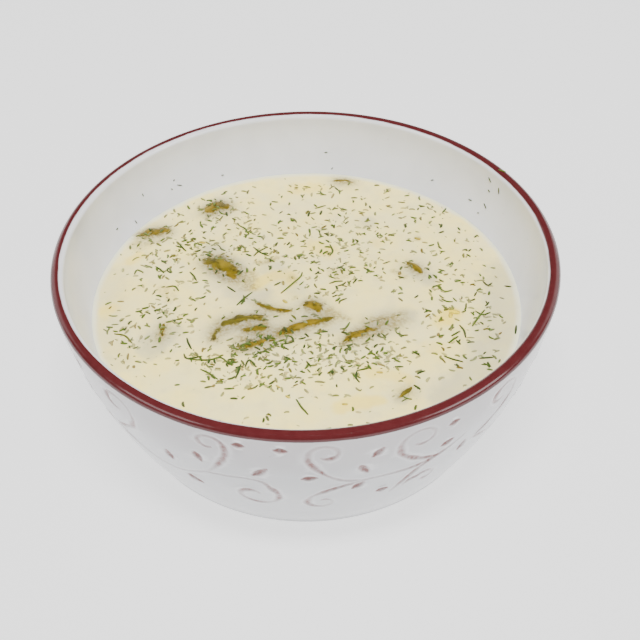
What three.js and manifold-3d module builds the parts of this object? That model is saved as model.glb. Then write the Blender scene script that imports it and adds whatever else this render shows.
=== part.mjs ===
// A round stoneware bowl with a carved vine-scroll ornament, holding a cream soup with pieces
// of cooked lettuce and chopped dill. Millimetres, +Z up, -Y to the front. The origin is on the
// table, under the middle of the bowl.

import * as THREE from 'three';
import { mergeVertices } from 'three/addons/utils/BufferGeometryUtils.js';
import Module from 'manifold-3d';

const wasm = await Module();
wasm.setup();

// ---- Driving dimensions ----

const BOWL_HEIGHT = 65.2;
const RIM_RADIUS = 80;
const LIP_THICKNESS = 4.1;
const LIP_ROUNDING = 1.9;
const LIP_BASE = BOWL_HEIGHT - LIP_ROUNDING;

const WALL_FOOT_RADIUS = 61; // outer wall just above its turn to the foot
const WALL_FOOT_HEIGHT = 5;
const WALL_BULGE = 0.56; // 0 is a straight cone, 1 is all curve
const WALL_CURVE = 2.2;

const FOOT_RADIUS = 50; // the ring that the bowl stands on, out of sight under the wall
const FOOT_WIDTH = 4.6;
const FOOT_HEIGHT = 2.2;
const FOOT_CHAMFER = 0.5;
const TURN_WIDTH = 3.5; // of the rounded turn from the underside up into the wall

const FLOOR_RADIUS = 38; // inside of the bowl, where the floor meets the wall
const FLOOR_HEIGHT = 8;
const INNER_CURVE = 1.79;

const SOUP_LEVEL = 43.5;
const GAP = 0.3; // clearance between the soup and what it meets
const WALL_GAP = 0.45; // the same, measured level to the sloping wall
const SOUP_WAVE = 0.22;
const WAVE_ACROSS = 11; // millimetres to a radian of the waves, which cross each other
const WAVE_ALONG = 13;
const WAVE_SLANTING = 15;
const SOUP_RISE = 0.7; // how far the soup creeps up the wall
const SOUP_RISE_WIDTH = 2;
const SOUP_RINGS = [0.97, 0.88, 0.7, 0.5, 0.25, 0]; // shares of the radius

const LEAF_THICKNESS = 0.8;
const LEAF_RIPPLE = 0.22;
const LEAF_RIPPLE_LENGTH = 5.5;
const LEAF_END = 0.45; // width of a leaf's ends, as a share of its middle
const LEAF_STEP = 3; // from one cross-section of a leaf to the next
const LEAF_STEPS_LEAST = 5;
const BROAD_LEAF = 3.5; // a leaf wider than this has one more row of faces
const LEAF_GAP = 0.36; // sideways clearance to the soup, with an allowance for the facets
const ROOM_ABOVE_LEAF = 3;

const FLAKE_COUNT = 110; // the longest flakes of dill, the rest being too fine to be solids
const FLAKE_TOTAL = 900;
const FLAKE_FALL = 6; // how fast the lengths fall off from the longest to the shortest
const FLAKE_LONGEST = 3.8;
const FLAKE_SHORTEST = 1.3;
const FLAKE_WIDTH = 0.75; // at the soup's level
const FLAKE_HEIGHT = 0.45; // above that level, and as much below it
const FLAKE_WALL_GAP = 2.5;
const SPINE_SAMPLES = 12;
const FLAKE_SEED = 20617;

const VINE_WIDTH = 1.5;
const VINE_DEPTH = 0.6;
const VINE_END = 0.6; // width and depth of a vine's ends, as a share of its middle
const CUT_CLEAR = 0.3; // how far the carving shapes stand out of the wall
const VINE_REPEATS = 4;
const SCROLL_STEP = 60; // degrees of winding to a straight stretch
const BUD_WIDTH = 2.4;
const BUD_DEPTH = 0.8;

const SIDES = 56; // of the bowl and the soup alike, so that the gap between them is even

// ---- Solids ----

// The solid of a closed geometry, without the triangles that shrink to a line at the axis.
function toSolid(geometry) {
  geometry.deleteAttribute('normal');
  geometry.deleteAttribute('uv');
  const merged = mergeVertices(geometry);
  const corners = merged.index.array;
  const triVerts = [];
  for (let i = 0; i < corners.length; i += 3) {
    const [a, b, c] = [corners[i], corners[i + 1], corners[i + 2]];
    if (a !== b && b !== c && c !== a) triVerts.push(a, b, c);
  }
  return new wasm.Manifold(new wasm.Mesh({
    numProp: 3,
    vertProperties: new Float32Array(merged.attributes.position.array),
    triVerts: new Uint32Array(triVerts),
  }));
}

function toGeometry(solid) {
  const mesh = solid.getMesh();
  const geometry = new THREE.BufferGeometry();
  geometry.setAttribute('position', new THREE.BufferAttribute(mesh.vertProperties, 3));
  geometry.setIndex(new THREE.BufferAttribute(mesh.triVerts, 1));
  geometry.computeVertexNormals();
  return geometry;
}

// Revolves an outline of (radius, height) points about the Z axis.
function turned(outline) {
  const geometry = new THREE.LatheGeometry(outline, SIDES);
  geometry.rotateX(Math.PI / 2);
  return geometry;
}

// A closed skin over a row of cross-sections, each with as many points, which run round the way
// ahead by the right-hand rule. The second half of a section's faces is split the other way, so
// that the upper and lower faces of a strip are split into triangles alike.
function lofted(sections) {
  const size = sections[0].length;
  const positions = sections.flat().flatMap((point) => point.toArray());
  const index = [];
  for (let i = 0; i + 1 < sections.length; i++) {
    for (let j = 0; j < size; j++) {
      const a = i * size + j;
      const b = i * size + (j + 1) % size;
      if (j < size / 2) index.push(a, b, a + size, b, b + size, a + size);
      else index.push(a, b, b + size, a, b + size, a + size);
    }
  }
  const last = (sections.length - 1) * size;
  for (let j = 0; j + 2 < size; j++) {
    const near = Math.ceil(j / 2);
    const far = size - 1 - Math.floor(j / 2);
    const next = j % 2 === 0 ? near + 1 : far - 1;
    index.push(near, far, next);
    index.push(last + near, last + next, last + far);
  }
  const geometry = new THREE.BufferGeometry();
  geometry.setAttribute('position', new THREE.Float32BufferAttribute(positions, 3));
  geometry.setIndex(index);
  return geometry;
}

// ---- Bowl ----

// Outer radius of the wall at a height.
function wallRadius(height) {
  const t = (height - WALL_FOOT_HEIGHT) / (LIP_BASE - WALL_FOOT_HEIGHT);
  const curve = 1 - Math.pow(Math.max(0, 1 - t), WALL_CURVE);
  const spread = (1 - WALL_BULGE) * t + WALL_BULGE * curve;
  return WALL_FOOT_RADIUS + (RIM_RADIUS - WALL_FOOT_RADIUS) * spread;
}

// Inner radius of the bowl at a height.
function innerRadius(height) {
  const t = (height - FLOOR_HEIGHT) / (LIP_BASE - FLOOR_HEIGHT);
  const curve = 1 - Math.pow(Math.max(0, 1 - t), INNER_CURVE);
  return FLOOR_RADIUS + (RIM_RADIUS - LIP_THICKNESS - FLOOR_RADIUS) * curve;
}

// Heights of the inner wall's edges, from the lip down. One of them is the soup's level.
function innerHeights() {
  const heights = [LIP_BASE, (LIP_BASE + SOUP_LEVEL) / 2, SOUP_LEVEL];
  for (const share of [0.25, 0.5, 0.75, 1]) {
    heights.push(THREE.MathUtils.lerp(SOUP_LEVEL, FLOOR_HEIGHT, share));
  }
  return heights;
}

function bowlOutline() {
  const outline = [];
  const add = (radius, height) => outline.push(new THREE.Vector2(radius, height));
  add(0, FOOT_HEIGHT);
  add(FOOT_RADIUS - FOOT_WIDTH - FOOT_CHAMFER, FOOT_HEIGHT);
  add(FOOT_RADIUS - FOOT_WIDTH, 0);
  add(FOOT_RADIUS - FOOT_CHAMFER, 0);
  add(FOOT_RADIUS, FOOT_HEIGHT);
  for (const angle of [0, Math.PI / 4]) {
    add(
      WALL_FOOT_RADIUS - TURN_WIDTH * (1 - Math.sin(angle)),
      WALL_FOOT_HEIGHT - (WALL_FOOT_HEIGHT - FOOT_HEIGHT) * Math.cos(angle),
    );
  }
  const wallSteps = 5;
  for (let i = 0; i <= wallSteps; i++) {
    const height = THREE.MathUtils.lerp(WALL_FOOT_HEIGHT, LIP_BASE, i / wallSteps);
    add(wallRadius(height), height);
  }
  const lipSteps = 4;
  for (let i = 1; i < lipSteps; i++) {
    const angle = Math.PI * i / lipSteps;
    const middle = RIM_RADIUS - LIP_THICKNESS / 2;
    add(middle + LIP_THICKNESS / 2 * Math.cos(angle), LIP_BASE + LIP_ROUNDING * Math.sin(angle));
  }
  for (const height of innerHeights()) add(innerRadius(height), height);
  add(0, FLOOR_HEIGHT);
  return outline;
}

// The ornament is laid out on the wall as [degrees round from the front, height]. One stretch
// of it fills a quarter of the bowl. A scroll starts at an angle on its circle and winds inwards.
const DEGREE_LENGTH = 1.28; // millimetres of wall to a degree, at mid height

const VINES = [
  { stem: [[-28.6, 35.2], [-23.3, 39.6], [-19.6, 46.5], [-17.4, 53]],
    scroll: { centre: [-20.7, 57.2], radius: 4.4, end: 1.7, from: -5, sweep: 300 } },
  { stem: [[-24.5, 39], [-18.2, 40.3], [-13.8, 41.1], [-10.2, 39.8]],
    scroll: { centre: [-13, 30.2], radius: 8.2, end: 1.9, from: 50, sweep: -380 } },
  { stem: [[3.4, 45.2], [1.3, 49.4], [-0.2, 53.5]],
    scroll: { centre: [3.3, 56.9], radius: 4.6, end: 2, from: 180, sweep: -310 } },
  { stem: [[14, 39.4], [10, 38.4], [5, 35.6], [0.8, 31.7]],
    scroll: { centre: [3, 26.4], radius: 5, end: 1.6, from: 155, sweep: 310 } },
  { stem: [[29, 41], [26, 42.4], [22.6, 45.5], [19.6, 49.7]],
    scroll: { centre: [23.5, 55], radius: 6.1, end: 2.3, from: 195, sweep: -320 } },
  { stem: [[-50, 38.5], [-46, 42], [-42, 46.5], [-40.3, 51]],
    scroll: { centre: [-44.6, 55], radius: 5.6, end: 2.2, from: -5, sweep: 300 } },
  { stem: [[3.4, 45.2], [6, 42], [9.5, 39.9], [18, 39.2], [25, 39.2], [31, 41.5], [36.5, 46]] },
  { stem: [[-24.5, 38.8], [-29, 34.6], [-34.5, 32], [-40, 32.5], [-46, 36], [-50, 38.5]] },
  { stem: [[29, 41], [25.5, 37.3], [22.2, 31.5], [19.5, 25]] },
  { stem: [[22.4, 27.6], [24, 30]],
    scroll: { centre: [28.3, 28.2], radius: 4, end: 1.6, from: 145, sweep: -260 } },
];

// Leaf buds: [degrees, height, length, heading in degrees].
const BUDS = [
  [-32.4, 41.5, 4.5, 100], [-24, 47.6, 4.6, -72], [-27.8, 30.2, 5.2, -35], [-14, 59.4, 2.8, 0],
  [-5.6, 59, 3.2, -5], [-10.5, 46.3, 6, 50], [0, 43.7, 4, 8], [11.6, 46, 5.2, -62],
  [14.1, 54.6, 4.4, 55], [10.8, 36.3, 4.4, 50], [17.2, 29, 3.4, 5], [31.1, 46.2, 3.8, 20],
  [36.8, 38.3, 4.8, 72], [31.2, 56.6, 2.8, 10],
];

// The points of a vine in millimetres along the wall and up it.
function vinePoints({ stem, scroll }) {
  const points = stem.map(([degrees, height]) => (
    new THREE.Vector2(degrees * DEGREE_LENGTH, height)));
  if (!scroll) return points;
  const windings = Math.ceil(Math.abs(scroll.sweep) / SCROLL_STEP);
  for (let i = 0; i <= windings; i++) {
    const angle = THREE.MathUtils.degToRad(scroll.from + scroll.sweep * i / windings);
    const radius = THREE.MathUtils.lerp(scroll.radius, scroll.end, i / windings);
    points.push(new THREE.Vector2(
      scroll.centre[0] * DEGREE_LENGTH + radius * Math.cos(angle),
      scroll.centre[1] + radius * Math.sin(angle),
    ));
  }
  return points;
}

// A place on the wall, given along it and up it, with the directions round, up and out there.
function wallFrame({ x, y }, turn) {
  const angle = THREE.MathUtils.degToRad(x / DEGREE_LENGTH) + turn;
  const radius = wallRadius(y);
  const slope = wallRadius(y + 0.5) - wallRadius(y - 0.5);
  const away = new THREE.Vector3(Math.sin(angle), -Math.cos(angle), 0);
  const around = new THREE.Vector3(Math.cos(angle), Math.sin(angle), 0);
  const up = away.clone().multiplyScalar(slope).setZ(1).normalize();
  const out = new THREE.Vector3().crossVectors(around, up);
  return { place: away.multiplyScalar(radius).setZ(y), around, up, out };
}

// What is carved away along a vine, narrower and shallower at its ends.
function vineCut(vine, turn) {
  const points = vinePoints(vine);
  const curve = new THREE.SplineCurve(points);
  const steps = points.length - 1;
  const sections = points.map((point, i) => {
    const { place, around, up, out } = wallFrame(point, turn);
    const direction = curve.getTangent(i / steps);
    const aside = around.multiplyScalar(-direction.y).addScaledVector(up, direction.x);
    const share = THREE.MathUtils.lerp(VINE_END, 1, Math.sin(Math.PI * i / steps));
    const depth = VINE_DEPTH * share;
    const half = VINE_WIDTH * share / 2 * (depth + CUT_CLEAR) / depth;
    const top = place.clone().addScaledVector(out, CUT_CLEAR);
    return [
      top.clone().addScaledVector(aside, half),
      top.clone().addScaledVector(aside, -half),
      place.clone().addScaledVector(out, -depth),
    ];
  });
  return toSolid(lofted(sections));
}

function budCut([degrees, height, length, heading], turn) {
  const { place, around, up, out } = wallFrame({ x: degrees * DEGREE_LENGTH, y: height }, turn);
  const bud = new THREE.OctahedronGeometry(1);
  bud.scale(length / 2, BUD_WIDTH / 2, BUD_DEPTH);
  bud.rotateZ(THREE.MathUtils.degToRad(heading));
  bud.applyMatrix4(new THREE.Matrix4().makeBasis(around, up, out).setPosition(place));
  return toSolid(bud);
}

function makeBowl() {
  let bowl = toSolid(turned(bowlOutline()));
  for (let repeat = 0; repeat < VINE_REPEATS; repeat++) {
    const turn = 2 * Math.PI * repeat / VINE_REPEATS;
    for (const vine of VINES) bowl = bowl.subtract(vineCut(vine, turn));
    for (const bud of BUDS) bowl = bowl.subtract(budCut(bud, turn));
  }
  return bowl;
}

// ---- Lettuce ----

// Each piece lies in the soup's surface along a spine of [x, y, lift above the level], with
// its greatest width in the middle.
const LEAVES = {
  lettuce_left: { width: 8.5, spine: [
    [-35, 19.5, 0.4], [-29.5, 18, 0.7], [-25, 13.5, 0.1], [-22.5, 9, -0.4]] },
  lettuce_back_left: { width: 6, spine: [[-36, 46, -0.1], [-32, 50.3, 0.6], [-26.5, 50, 0.2]] },
  lettuce_edge: { width: 4.6, spine: [[-59, 34.5, 0], [-54, 36, 0.5], [-47.5, 37.8, 0.2]] },
  lettuce_fold: { width: 4.4, spine: [
    [-13, -9.2, 0.6], [-19, -9.4, 0.7], [-25, -10.6, 0.1], [-28.4, -14.5, 0], [-30, -20, 0.5]] },
  lettuce_fold_front: { width: 3.4, spine: [
    [-21, -15, 0.2], [-16.5, -14.6, 0.7], [-12.2, -13.9, 0.4]] },
  lettuce_long: { width: 4, spine: [
    [-23, -24.3, 0.4], [-17, -21.6, 0.6], [-11.5, -18.4, -0.2], [-6, -15.2, 0.2], [-1, -12.9, 0.6],
    [4.5, -11.2, 0.6], [11, -9.2, 0]] },
  lettuce_mid: { width: 5.2, spine: [[-1.2, -2.8, 0.2], [2.2, -4, 0.7], [5, -6.6, 0.2]] },
  lettuce_strand: { width: 2, spine: [
    [-17, -0.8, -0.2], [-14, -3.4, 0.3], [-9.5, -5.6, 0.5], [-4.6, -5.9, 0]] },
  lettuce_right: { width: 4, spine: [
    [11.2, -22, 0.5], [14.5, -18.8, 0.7], [19, -16.2, 0.2], [25, -14.2, -0.2], [32.5, -11.6, -0.4]] },
  lettuce_streak: { width: 1.8, spine: [[18.5, -11.8, 0], [25, -11, 0.2], [32, -8.2, 0]] },
  lettuce_far_right: { width: 3.2, spine: [[34, 16.8, 0.3], [36.6, 14.8, 0.6], [39, 11.2, -0.1]] },
  lettuce_stem: { width: 2.2, spine: [[-45.9, -10.4, 0.2], [-46.2, -15, 0.4], [-46.8, -19.6, 0]] },
  lettuce_front: { width: 2.2, spine: [[26.6, -46.2, 0], [29, -44, 0.4], [31.6, -41.2, 0.1]] },
  lettuce_back: { width: 2.4, spine: [[10.2, 64.6, 0], [14.4, 64.9, 0.3], [18.6, 63.2, 0]] },
};

function spineCurve({ spine }) {
  return new THREE.CatmullRomCurve3(spine.map(([x, y, z]) => new THREE.Vector3(x, y, z)));
}

// A wavy strip along a leaf's spine. Both of its faces are split into triangles alike.
function leafSolid(leaf) {
  const rows = leaf.width > BROAD_LEAF ? 3 : 2;
  const half = LEAF_THICKNESS / 2;
  return stripSolid(leaf, { rows, ripple: LEAF_RIPPLE, grow: 0, above: half, below: half });
}

// The room that a leaf takes out of the soup, open to the air above it.
function leafRoom(leaf) {
  const below = LEAF_THICKNESS / 2 + LEAF_RIPPLE + GAP;
  return stripSolid(leaf, { rows: 1, ripple: 0, grow: LEAF_GAP, above: ROOM_ABOVE_LEAF, below });
}

function stripSolid(leaf, { rows, ripple, grow, above, below }) {
  const curve = spineCurve(leaf);
  const length = curve.getLength();
  const steps = Math.max(LEAF_STEPS_LEAST, Math.round(length / LEAF_STEP));
  const sections = [];
  for (let i = 0; i <= steps; i++) {
    const u = i / steps;
    const direction = curve.getTangentAt(u).setZ(0).normalize();
    const middle = curve.getPointAt(u).addScaledVector(direction, grow * (2 * u - 1));
    const aside = new THREE.Vector3(-direction.y, direction.x, 0);
    const share = LEAF_END + (1 - LEAF_END) * Math.sin(Math.PI * u);
    const half = leaf.width / 2 * share + grow;
    const upper = [];
    const lower = [];
    for (let j = 0; j <= rows; j++) {
      const v = 2 * j / rows - 1;
      const wave = Math.sin(2 * Math.PI * length * u / LEAF_RIPPLE_LENGTH + 2 * v);
      const place = middle.clone().addScaledVector(aside, half * v);
      place.z += SOUP_LEVEL + ripple * wave * Math.abs(v);
      upper.push(place.clone().setZ(place.z + above));
      lower.push(place.clone().setZ(place.z - below));
    }
    sections.push([...lower, ...upper.reverse()]);
  }
  return toSolid(lofted(sections));
}

// ---- Soup ----

function soupHeight(x, y) {
  const edge = innerRadius(SOUP_LEVEL) - WALL_GAP;
  const crossed = Math.sin(x / WAVE_ACROSS) * Math.cos(y / WAVE_ALONG);
  const wave = crossed + 0.5 * Math.sin((x + 2 * y) / WAVE_SLANTING);
  const rise = SOUP_RISE * Math.exp(-(edge - Math.hypot(x, y)) / SOUP_RISE_WIDTH);
  return SOUP_LEVEL + SOUP_WAVE * wave + rise;
}

function soupBody() {
  const bottom = FLOOR_HEIGHT + GAP;
  const outline = [new THREE.Vector2(0, bottom)];
  for (const height of innerHeights().reverse()) {
    if (height > SOUP_LEVEL) break;
    outline.push(new THREE.Vector2(innerRadius(height) - WALL_GAP, Math.max(height, bottom)));
  }
  const edge = outline.at(-1).x;
  for (const share of SOUP_RINGS) outline.push(new THREE.Vector2(edge * share, SOUP_LEVEL));
  const body = turned(outline);
  const places = body.attributes.position;
  for (let i = 0; i < places.count; i++) {
    const onTop = Math.abs(places.getZ(i) - SOUP_LEVEL) < 0.01;
    if (onTop) places.setZ(i, soupHeight(places.getX(i), places.getY(i)));
  }
  return toSolid(body);
}

// Where the dill lies: oval patches with a middle, half a length and width, and a share of the
// flakes. The last one is the thin scatter over all of the soup.
const DILL_PATCHES = [
  { middle: [-12, -30], half: [26, 12], share: 0.25 },
  { middle: [-45, 12], half: [13, 25], share: 0.14 },
  { middle: [50, -10], half: [15, 27], share: 0.17 },
  { middle: [-15, 26], half: [11, 13], share: 0.07 },
  { middle: [8, 8], half: [12, 10], share: 0.06 },
  { middle: [5, 50], half: [46, 15], share: 0.11 },
  { middle: [3, 2], half: [65, 60], share: 0.2 },
];

// The patch that a number from 0 to 1 falls in, by the patches' shares.
function pickPatch(number) {
  let reached = 0;
  for (const patch of DILL_PATCHES) {
    reached += patch.share;
    if (number < reached) return patch;
  }
  return DILL_PATCHES.at(-1);
}

// A small generator of repeatable random numbers from 0 to 1.
function seededRandom(seed) {
  let state = seed >>> 0;
  return () => {
    state = (state + 0x6D2B79F5) >>> 0;
    let mixed = Math.imul(state ^ (state >>> 15), state | 1);
    mixed ^= mixed + Math.imul(mixed ^ (mixed >>> 7), mixed | 61);
    return ((mixed ^ (mixed >>> 14)) >>> 0) / 4294967296;
  };
}

// The flakes, longest first. Each takes four draws, whether or not it is used.
function drawFlakes(count) {
  const random = seededRandom(FLAKE_SEED);
  const flakes = [];
  for (let i = 0; i < count; i++) {
    const { middle, half } = pickPatch(random());
    const angle = 2 * Math.PI * random();
    const reach = Math.sqrt(random());
    const excess = (FLAKE_LONGEST - FLAKE_SHORTEST) * Math.exp(-FLAKE_FALL * i / FLAKE_TOTAL);
    flakes.push({
      x: middle[0] + half[0] * reach * Math.cos(angle),
      y: middle[1] + half[1] * reach * Math.sin(angle),
      heading: Math.PI * random(),
      length: FLAKE_SHORTEST + excess,
    });
  }
  return flakes;
}

// A bar with a ridge along the top, half sunk in the soup.
function flakeSolid({ x, y, heading, length }) {
  const along = new THREE.Vector3(Math.cos(heading), Math.sin(heading), 0);
  const aside = new THREE.Vector3(-along.y, along.x, 0);
  const sections = [-0.5, 0.5].map((end) => {
    const middle = new THREE.Vector3(x, y, 0).addScaledVector(along, length * end);
    middle.z = soupHeight(middle.x, middle.y);
    const root = middle.clone().setZ(middle.z - FLAKE_HEIGHT);
    return [
      root.clone().addScaledVector(aside, -FLAKE_WIDTH),
      root.clone().addScaledVector(aside, FLAKE_WIDTH),
      middle.clone().setZ(middle.z + FLAKE_HEIGHT),
    ];
  });
  return toSolid(lofted(sections));
}

function makeSoup() {
  let soup = soupBody();
  const spines = Object.values(LEAVES).map((leaf) => ({
    points: spineCurve(leaf).getSpacedPoints(SPINE_SAMPLES),
    half: leaf.width / 2,
  }));
  const limit = innerRadius(SOUP_LEVEL) - FLAKE_WALL_GAP;
  const placed = [];
  for (const flake of drawFlakes(FLAKE_COUNT)) {
    const reach = flake.length / 2 + GAP;
    const nearLeaf = spines.some(({ points, half }) => points.some((point) => (
      Math.hypot(point.x - flake.x, point.y - flake.y) < half + reach + GAP)));
    const nearFlake = placed.some((other) => (
      Math.hypot(other.x - flake.x, other.y - flake.y) < (other.length + flake.length) / 2));
    const nearWall = Math.hypot(flake.x, flake.y) + reach > limit;
    if (nearLeaf || nearFlake || nearWall) continue;
    placed.push(flake);
    soup = soup.add(flakeSolid(flake));
  }
  for (const leaf of Object.values(LEAVES)) soup = soup.subtract(leafRoom(leaf));
  return soup;
}

// ---- Assembly ----

const glaze = new THREE.MeshStandardMaterial({ color: 0xd9d7d5, roughness: 0.25 });
const cream = new THREE.MeshStandardMaterial({ color: 0xe6dec8, roughness: 0.3 });
const lettuce = new THREE.MeshStandardMaterial({ color: 0xa08c32, roughness: 0.45 });

const group = new THREE.Group();

function addMesh(name, solid, material) {
  const mesh = new THREE.Mesh(toGeometry(solid), material);
  mesh.name = name;
  group.add(mesh);
}

addMesh('bowl', makeBowl(), glaze);
addMesh('soup', makeSoup(), cream);
for (const [name, leaf] of Object.entries(LEAVES)) addMesh(name, leafSolid(leaf), lettuce);

export default group;
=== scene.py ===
"""A white stoneware bowl of cream soup with cooked lettuce and chopped dill.

Sizes are in millimetres in the bowl's own frame, and MM turns them into Blender's metres. +Z is
up, -Y is the front, and the origin is on the table under the middle of the bowl.
"""

from math import cos, exp, hypot, pi, radians, sin, sqrt

import bpy
import numpy as np
from mathutils import Matrix, Vector, noise


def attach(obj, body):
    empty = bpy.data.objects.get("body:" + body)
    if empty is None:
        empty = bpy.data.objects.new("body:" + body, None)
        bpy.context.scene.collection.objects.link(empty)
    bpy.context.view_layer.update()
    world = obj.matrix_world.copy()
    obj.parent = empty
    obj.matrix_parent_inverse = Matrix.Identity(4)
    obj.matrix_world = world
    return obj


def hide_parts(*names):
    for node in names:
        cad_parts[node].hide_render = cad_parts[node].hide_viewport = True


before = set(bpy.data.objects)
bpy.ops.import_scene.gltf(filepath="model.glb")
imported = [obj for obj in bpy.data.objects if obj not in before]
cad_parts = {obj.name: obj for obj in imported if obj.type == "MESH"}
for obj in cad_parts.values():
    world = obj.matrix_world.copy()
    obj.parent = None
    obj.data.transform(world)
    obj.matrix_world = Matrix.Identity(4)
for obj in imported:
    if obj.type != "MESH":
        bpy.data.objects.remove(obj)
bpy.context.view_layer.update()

MM = 0.001

# ---- Sizes of the bowl ----

BOWL_HEIGHT = 65.2
RIM_RADIUS = 80
LIP_THICKNESS = 4.1
LIP_ROUNDING = 1.9
LIP_BASE = BOWL_HEIGHT - LIP_ROUNDING

WALL_FOOT_RADIUS = 61
WALL_FOOT_HEIGHT = 5
WALL_BULGE = 0.56
WALL_CURVE = 2.2
WALL_UNEVENNESS = 0.12
UNEVEN_HEIGHTS = (16, 54)  # it is full between these, and dies away towards foot and lip
WALL_TOLERANCE = 0.05

FOOT_RADIUS = 50
FOOT_WIDTH = 4.6
FOOT_HEIGHT = 2.2
FOOT_CHAMFER = 0.5

# The foot ring's edges as [across from its inner or its outer side, height].
FOOT_INNER_EDGE = [[-0.1, 0.5], [0.1, 0.12], [0.5, 0]]
FOOT_OUTER_EDGE = [[-0.9, 0], [-0.5, 0.12], [-0.3, 0.5]]
TURN_WIDTH = 3.5

FLOOR_RADIUS = 38
FLOOR_HEIGHT = 8
INNER_CURVE = 1.79

BOWL_SIDES = 240

# The dark red band round the lip: how low it reaches outside, and its inner edge on the lip.
BAND_LOW = 63
BAND_INNER_RADIUS = 76.75
BAND_DRIFT = 0.45  # the hand-painted edge lies this much further in on the right
BAND_WAVER = 0.3
BAND_SOFTNESS = 0.2
BARE_FOOT = (0.7, 0.4)  # the glaze ends between these heights

# A faint red haze outside, partly the wash's red tint and partly painted shade that darkens the
# wall under the lip, begins and is full at these radii, and grows between these heights.
HAZE_AND_SHADE_RADII = (76, 77.5)
HAZE_AND_SHADE_HEIGHTS = (38, 62)
HAZE_AND_SHADE_SHARES = (0.03, 0.2)

# ---- Sizes of the ornament ----

DEGREE_LENGTH = 1.28  # millimetres of wall to a degree, at mid height
VINE_REPEATS = 4
VINE_WIDTH = 1.5
VINE_DEPTH = 0.34
VINE_TAPER = 2.4  # length over which a line dies away at its end
VINE_END_WIDTH = 0.4  # share of the width left at the end
BUD_WIDTH = 2.8
BUD_DEPTH = 0.55
BUD_END_WIDTH = 0.2
BUD_FULLNESS = 0.7
CARVING_STEP = 0.2  # from one place along a carved line to the next
CARVING_CUTS = 3  # how finely the wall's faces are divided beside a line
CARVING_REACH = 2.3
LIP_HEIGHT = 0.17  # glaze swells this much beside a line
LIP_PLACE = 1.5  # in half widths from the middle of the line
LIP_WIDTH = 0.45
VINE_UNEVENNESS = 0.3
VINE_UNEVEN_LENGTH = 2.5

# A line's width and depth, as factors, and its wash, where little and much of it has gathered.
VINE_WIDTHS = (0.85, 1.45)
VINE_DEPTHS = (0.35, 1)
VINE_WASHES = (0.28, 1.08)
BUD_WASH = 1.1
WASH_REACH = 1.15
WASH_SPREAD = (1.25, 0.2)  # begins and is full this many half widths from the middle of a line
WASH_POOL = np.array([-0.12, -0.2])  # the wash gathered low and to the left in a line

# One quarter of the ornament: stems through [degrees round, height], which may end in a scroll,
# with its [degrees round, height, first radius, last radius, first angle, angle turned through].
VINES = [
    {"stem": [[-28.6, 35.2], [-23.3, 39.6], [-19.6, 46.5], [-17.4, 53]],
     "scroll": [-20.7, 57.2, 4.4, 1.7, -5, 300]},
    {"stem": [[-24.5, 39], [-18.2, 40.3], [-13.8, 41.1], [-10.2, 39.8]],
     "scroll": [-13, 30.2, 8.2, 1.9, 50, -380]},
    {"stem": [[3.4, 45.2], [1.3, 49.4], [-0.2, 53.5]],
     "scroll": [3.3, 56.9, 4.6, 2, 180, -310]},
    {"stem": [[14, 39.4], [10, 38.4], [5, 35.6], [0.8, 31.7]],
     "scroll": [3, 26.4, 5, 1.6, 155, 310]},
    {"stem": [[29, 41], [26, 42.4], [22.6, 45.5], [19.6, 49.7]],
     "scroll": [23.5, 55, 6.1, 2.3, 195, -320]},
    {"stem": [[-50, 38.5], [-46, 42], [-42, 46.5], [-40.3, 51]],
     "scroll": [-44.6, 55, 5.6, 2.2, -5, 300]},
    {"stem": [[3.4, 45.2], [6, 42], [9.5, 39.9], [18, 39.2], [25, 39.2], [31, 41.5], [36.5, 46]]},
    {"stem": [[-24.5, 38.8], [-29, 34.6], [-34.5, 32], [-40, 32.5], [-46, 36], [-50, 38.5]]},
    {"stem": [[29, 41], [25.5, 37.3], [22.2, 31.5], [19.5, 25]]},
    {"stem": [[22.4, 27.6], [24, 30]],
     "scroll": [28.3, 28.2, 4, 1.6, 145, -260]},
]

# Leaf buds: [degrees, height, length, heading in degrees].
BUDS = [
    [-32.4, 41.5, 4.5, 100], [-24, 47.6, 4.6, -72], [-27.8, 30.2, 5.2, -35], [-14, 59.4, 2.8, 0],
    [-5.6, 59, 3.2, -5], [-10.5, 46.3, 6, 50], [0, 43.7, 4, 8], [11.6, 46, 5.2, -62],
    [14.1, 54.6, 4.4, 55], [10.8, 36.3, 4.4, 50], [17.2, 29, 3.4, 5], [31.1, 46.2, 3.8, 20],
    [36.8, 38.3, 4.8, 72], [31.2, 56.6, 2.8, 10],
]

# The lines are broader and deeper, and hold more wash, near [degrees, height, radius].
WASHED_PLACES = [
    [-18.4, 56, 3.5], [-18, 51, 4], [-19.5, 47, 2.5], [-24.6, 57, 2.5], [-7.4, 35, 4.5],
    [-7.2, 29.5, 2.5], [-14, 21.5, 3.5], [-19, 27, 3], [-15, 31.8, 2.5], [0, 51, 4.5],
    [2.2, 46, 2.5], [4.5, 53.4, 2.5], [6.7, 55.5, 1.5], [5, 35.2, 4.5], [-0.6, 26.5, 3.5],
    [3, 26.8, 1.5], [19.3, 50, 4.5], [22.5, 45, 3], [27.5, 52, 1.8], [24, 50.4, 1.8],
    [27.5, 39.7, 4.5], [23.5, 33, 6], [27, 27.5, 3], [-41, 47, 4], [-46, 40, 4], [-47, 56, 3],
]

# ---- Sizes of the soup and what is in it ----

SOUP_LEVEL = 43.5
SOUP_WAVE = 0.22
WAVE_ACROSS = 11
WAVE_ALONG = 13
WAVE_SLANTING = 15
SOUP_RISE = 0.25
SOUP_RISE_WIDTH = 0.9
SOUP_RADIUS = 70.2  # it reaches just into the wall
SOUP_CELLS = 224
LUMP_HEIGHT = 0.2
LUMP_LENGTH = 7
SMALL_LUMP_SHARE = 0.4
SMALL_LUMP_LENGTH = 2.6
LUMPS_END = 5  # the lumps die away over this distance from the wall
SOUP_SIDE_RINGS = 9
SOUP_FIRST_RING = 1.5  # its depth under the surface
SOUP_SIDE_GAP = 0.1  # between the soup's side and the bowl, under the surface
SOUP_FLOOR_GAP = 0.3

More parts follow.
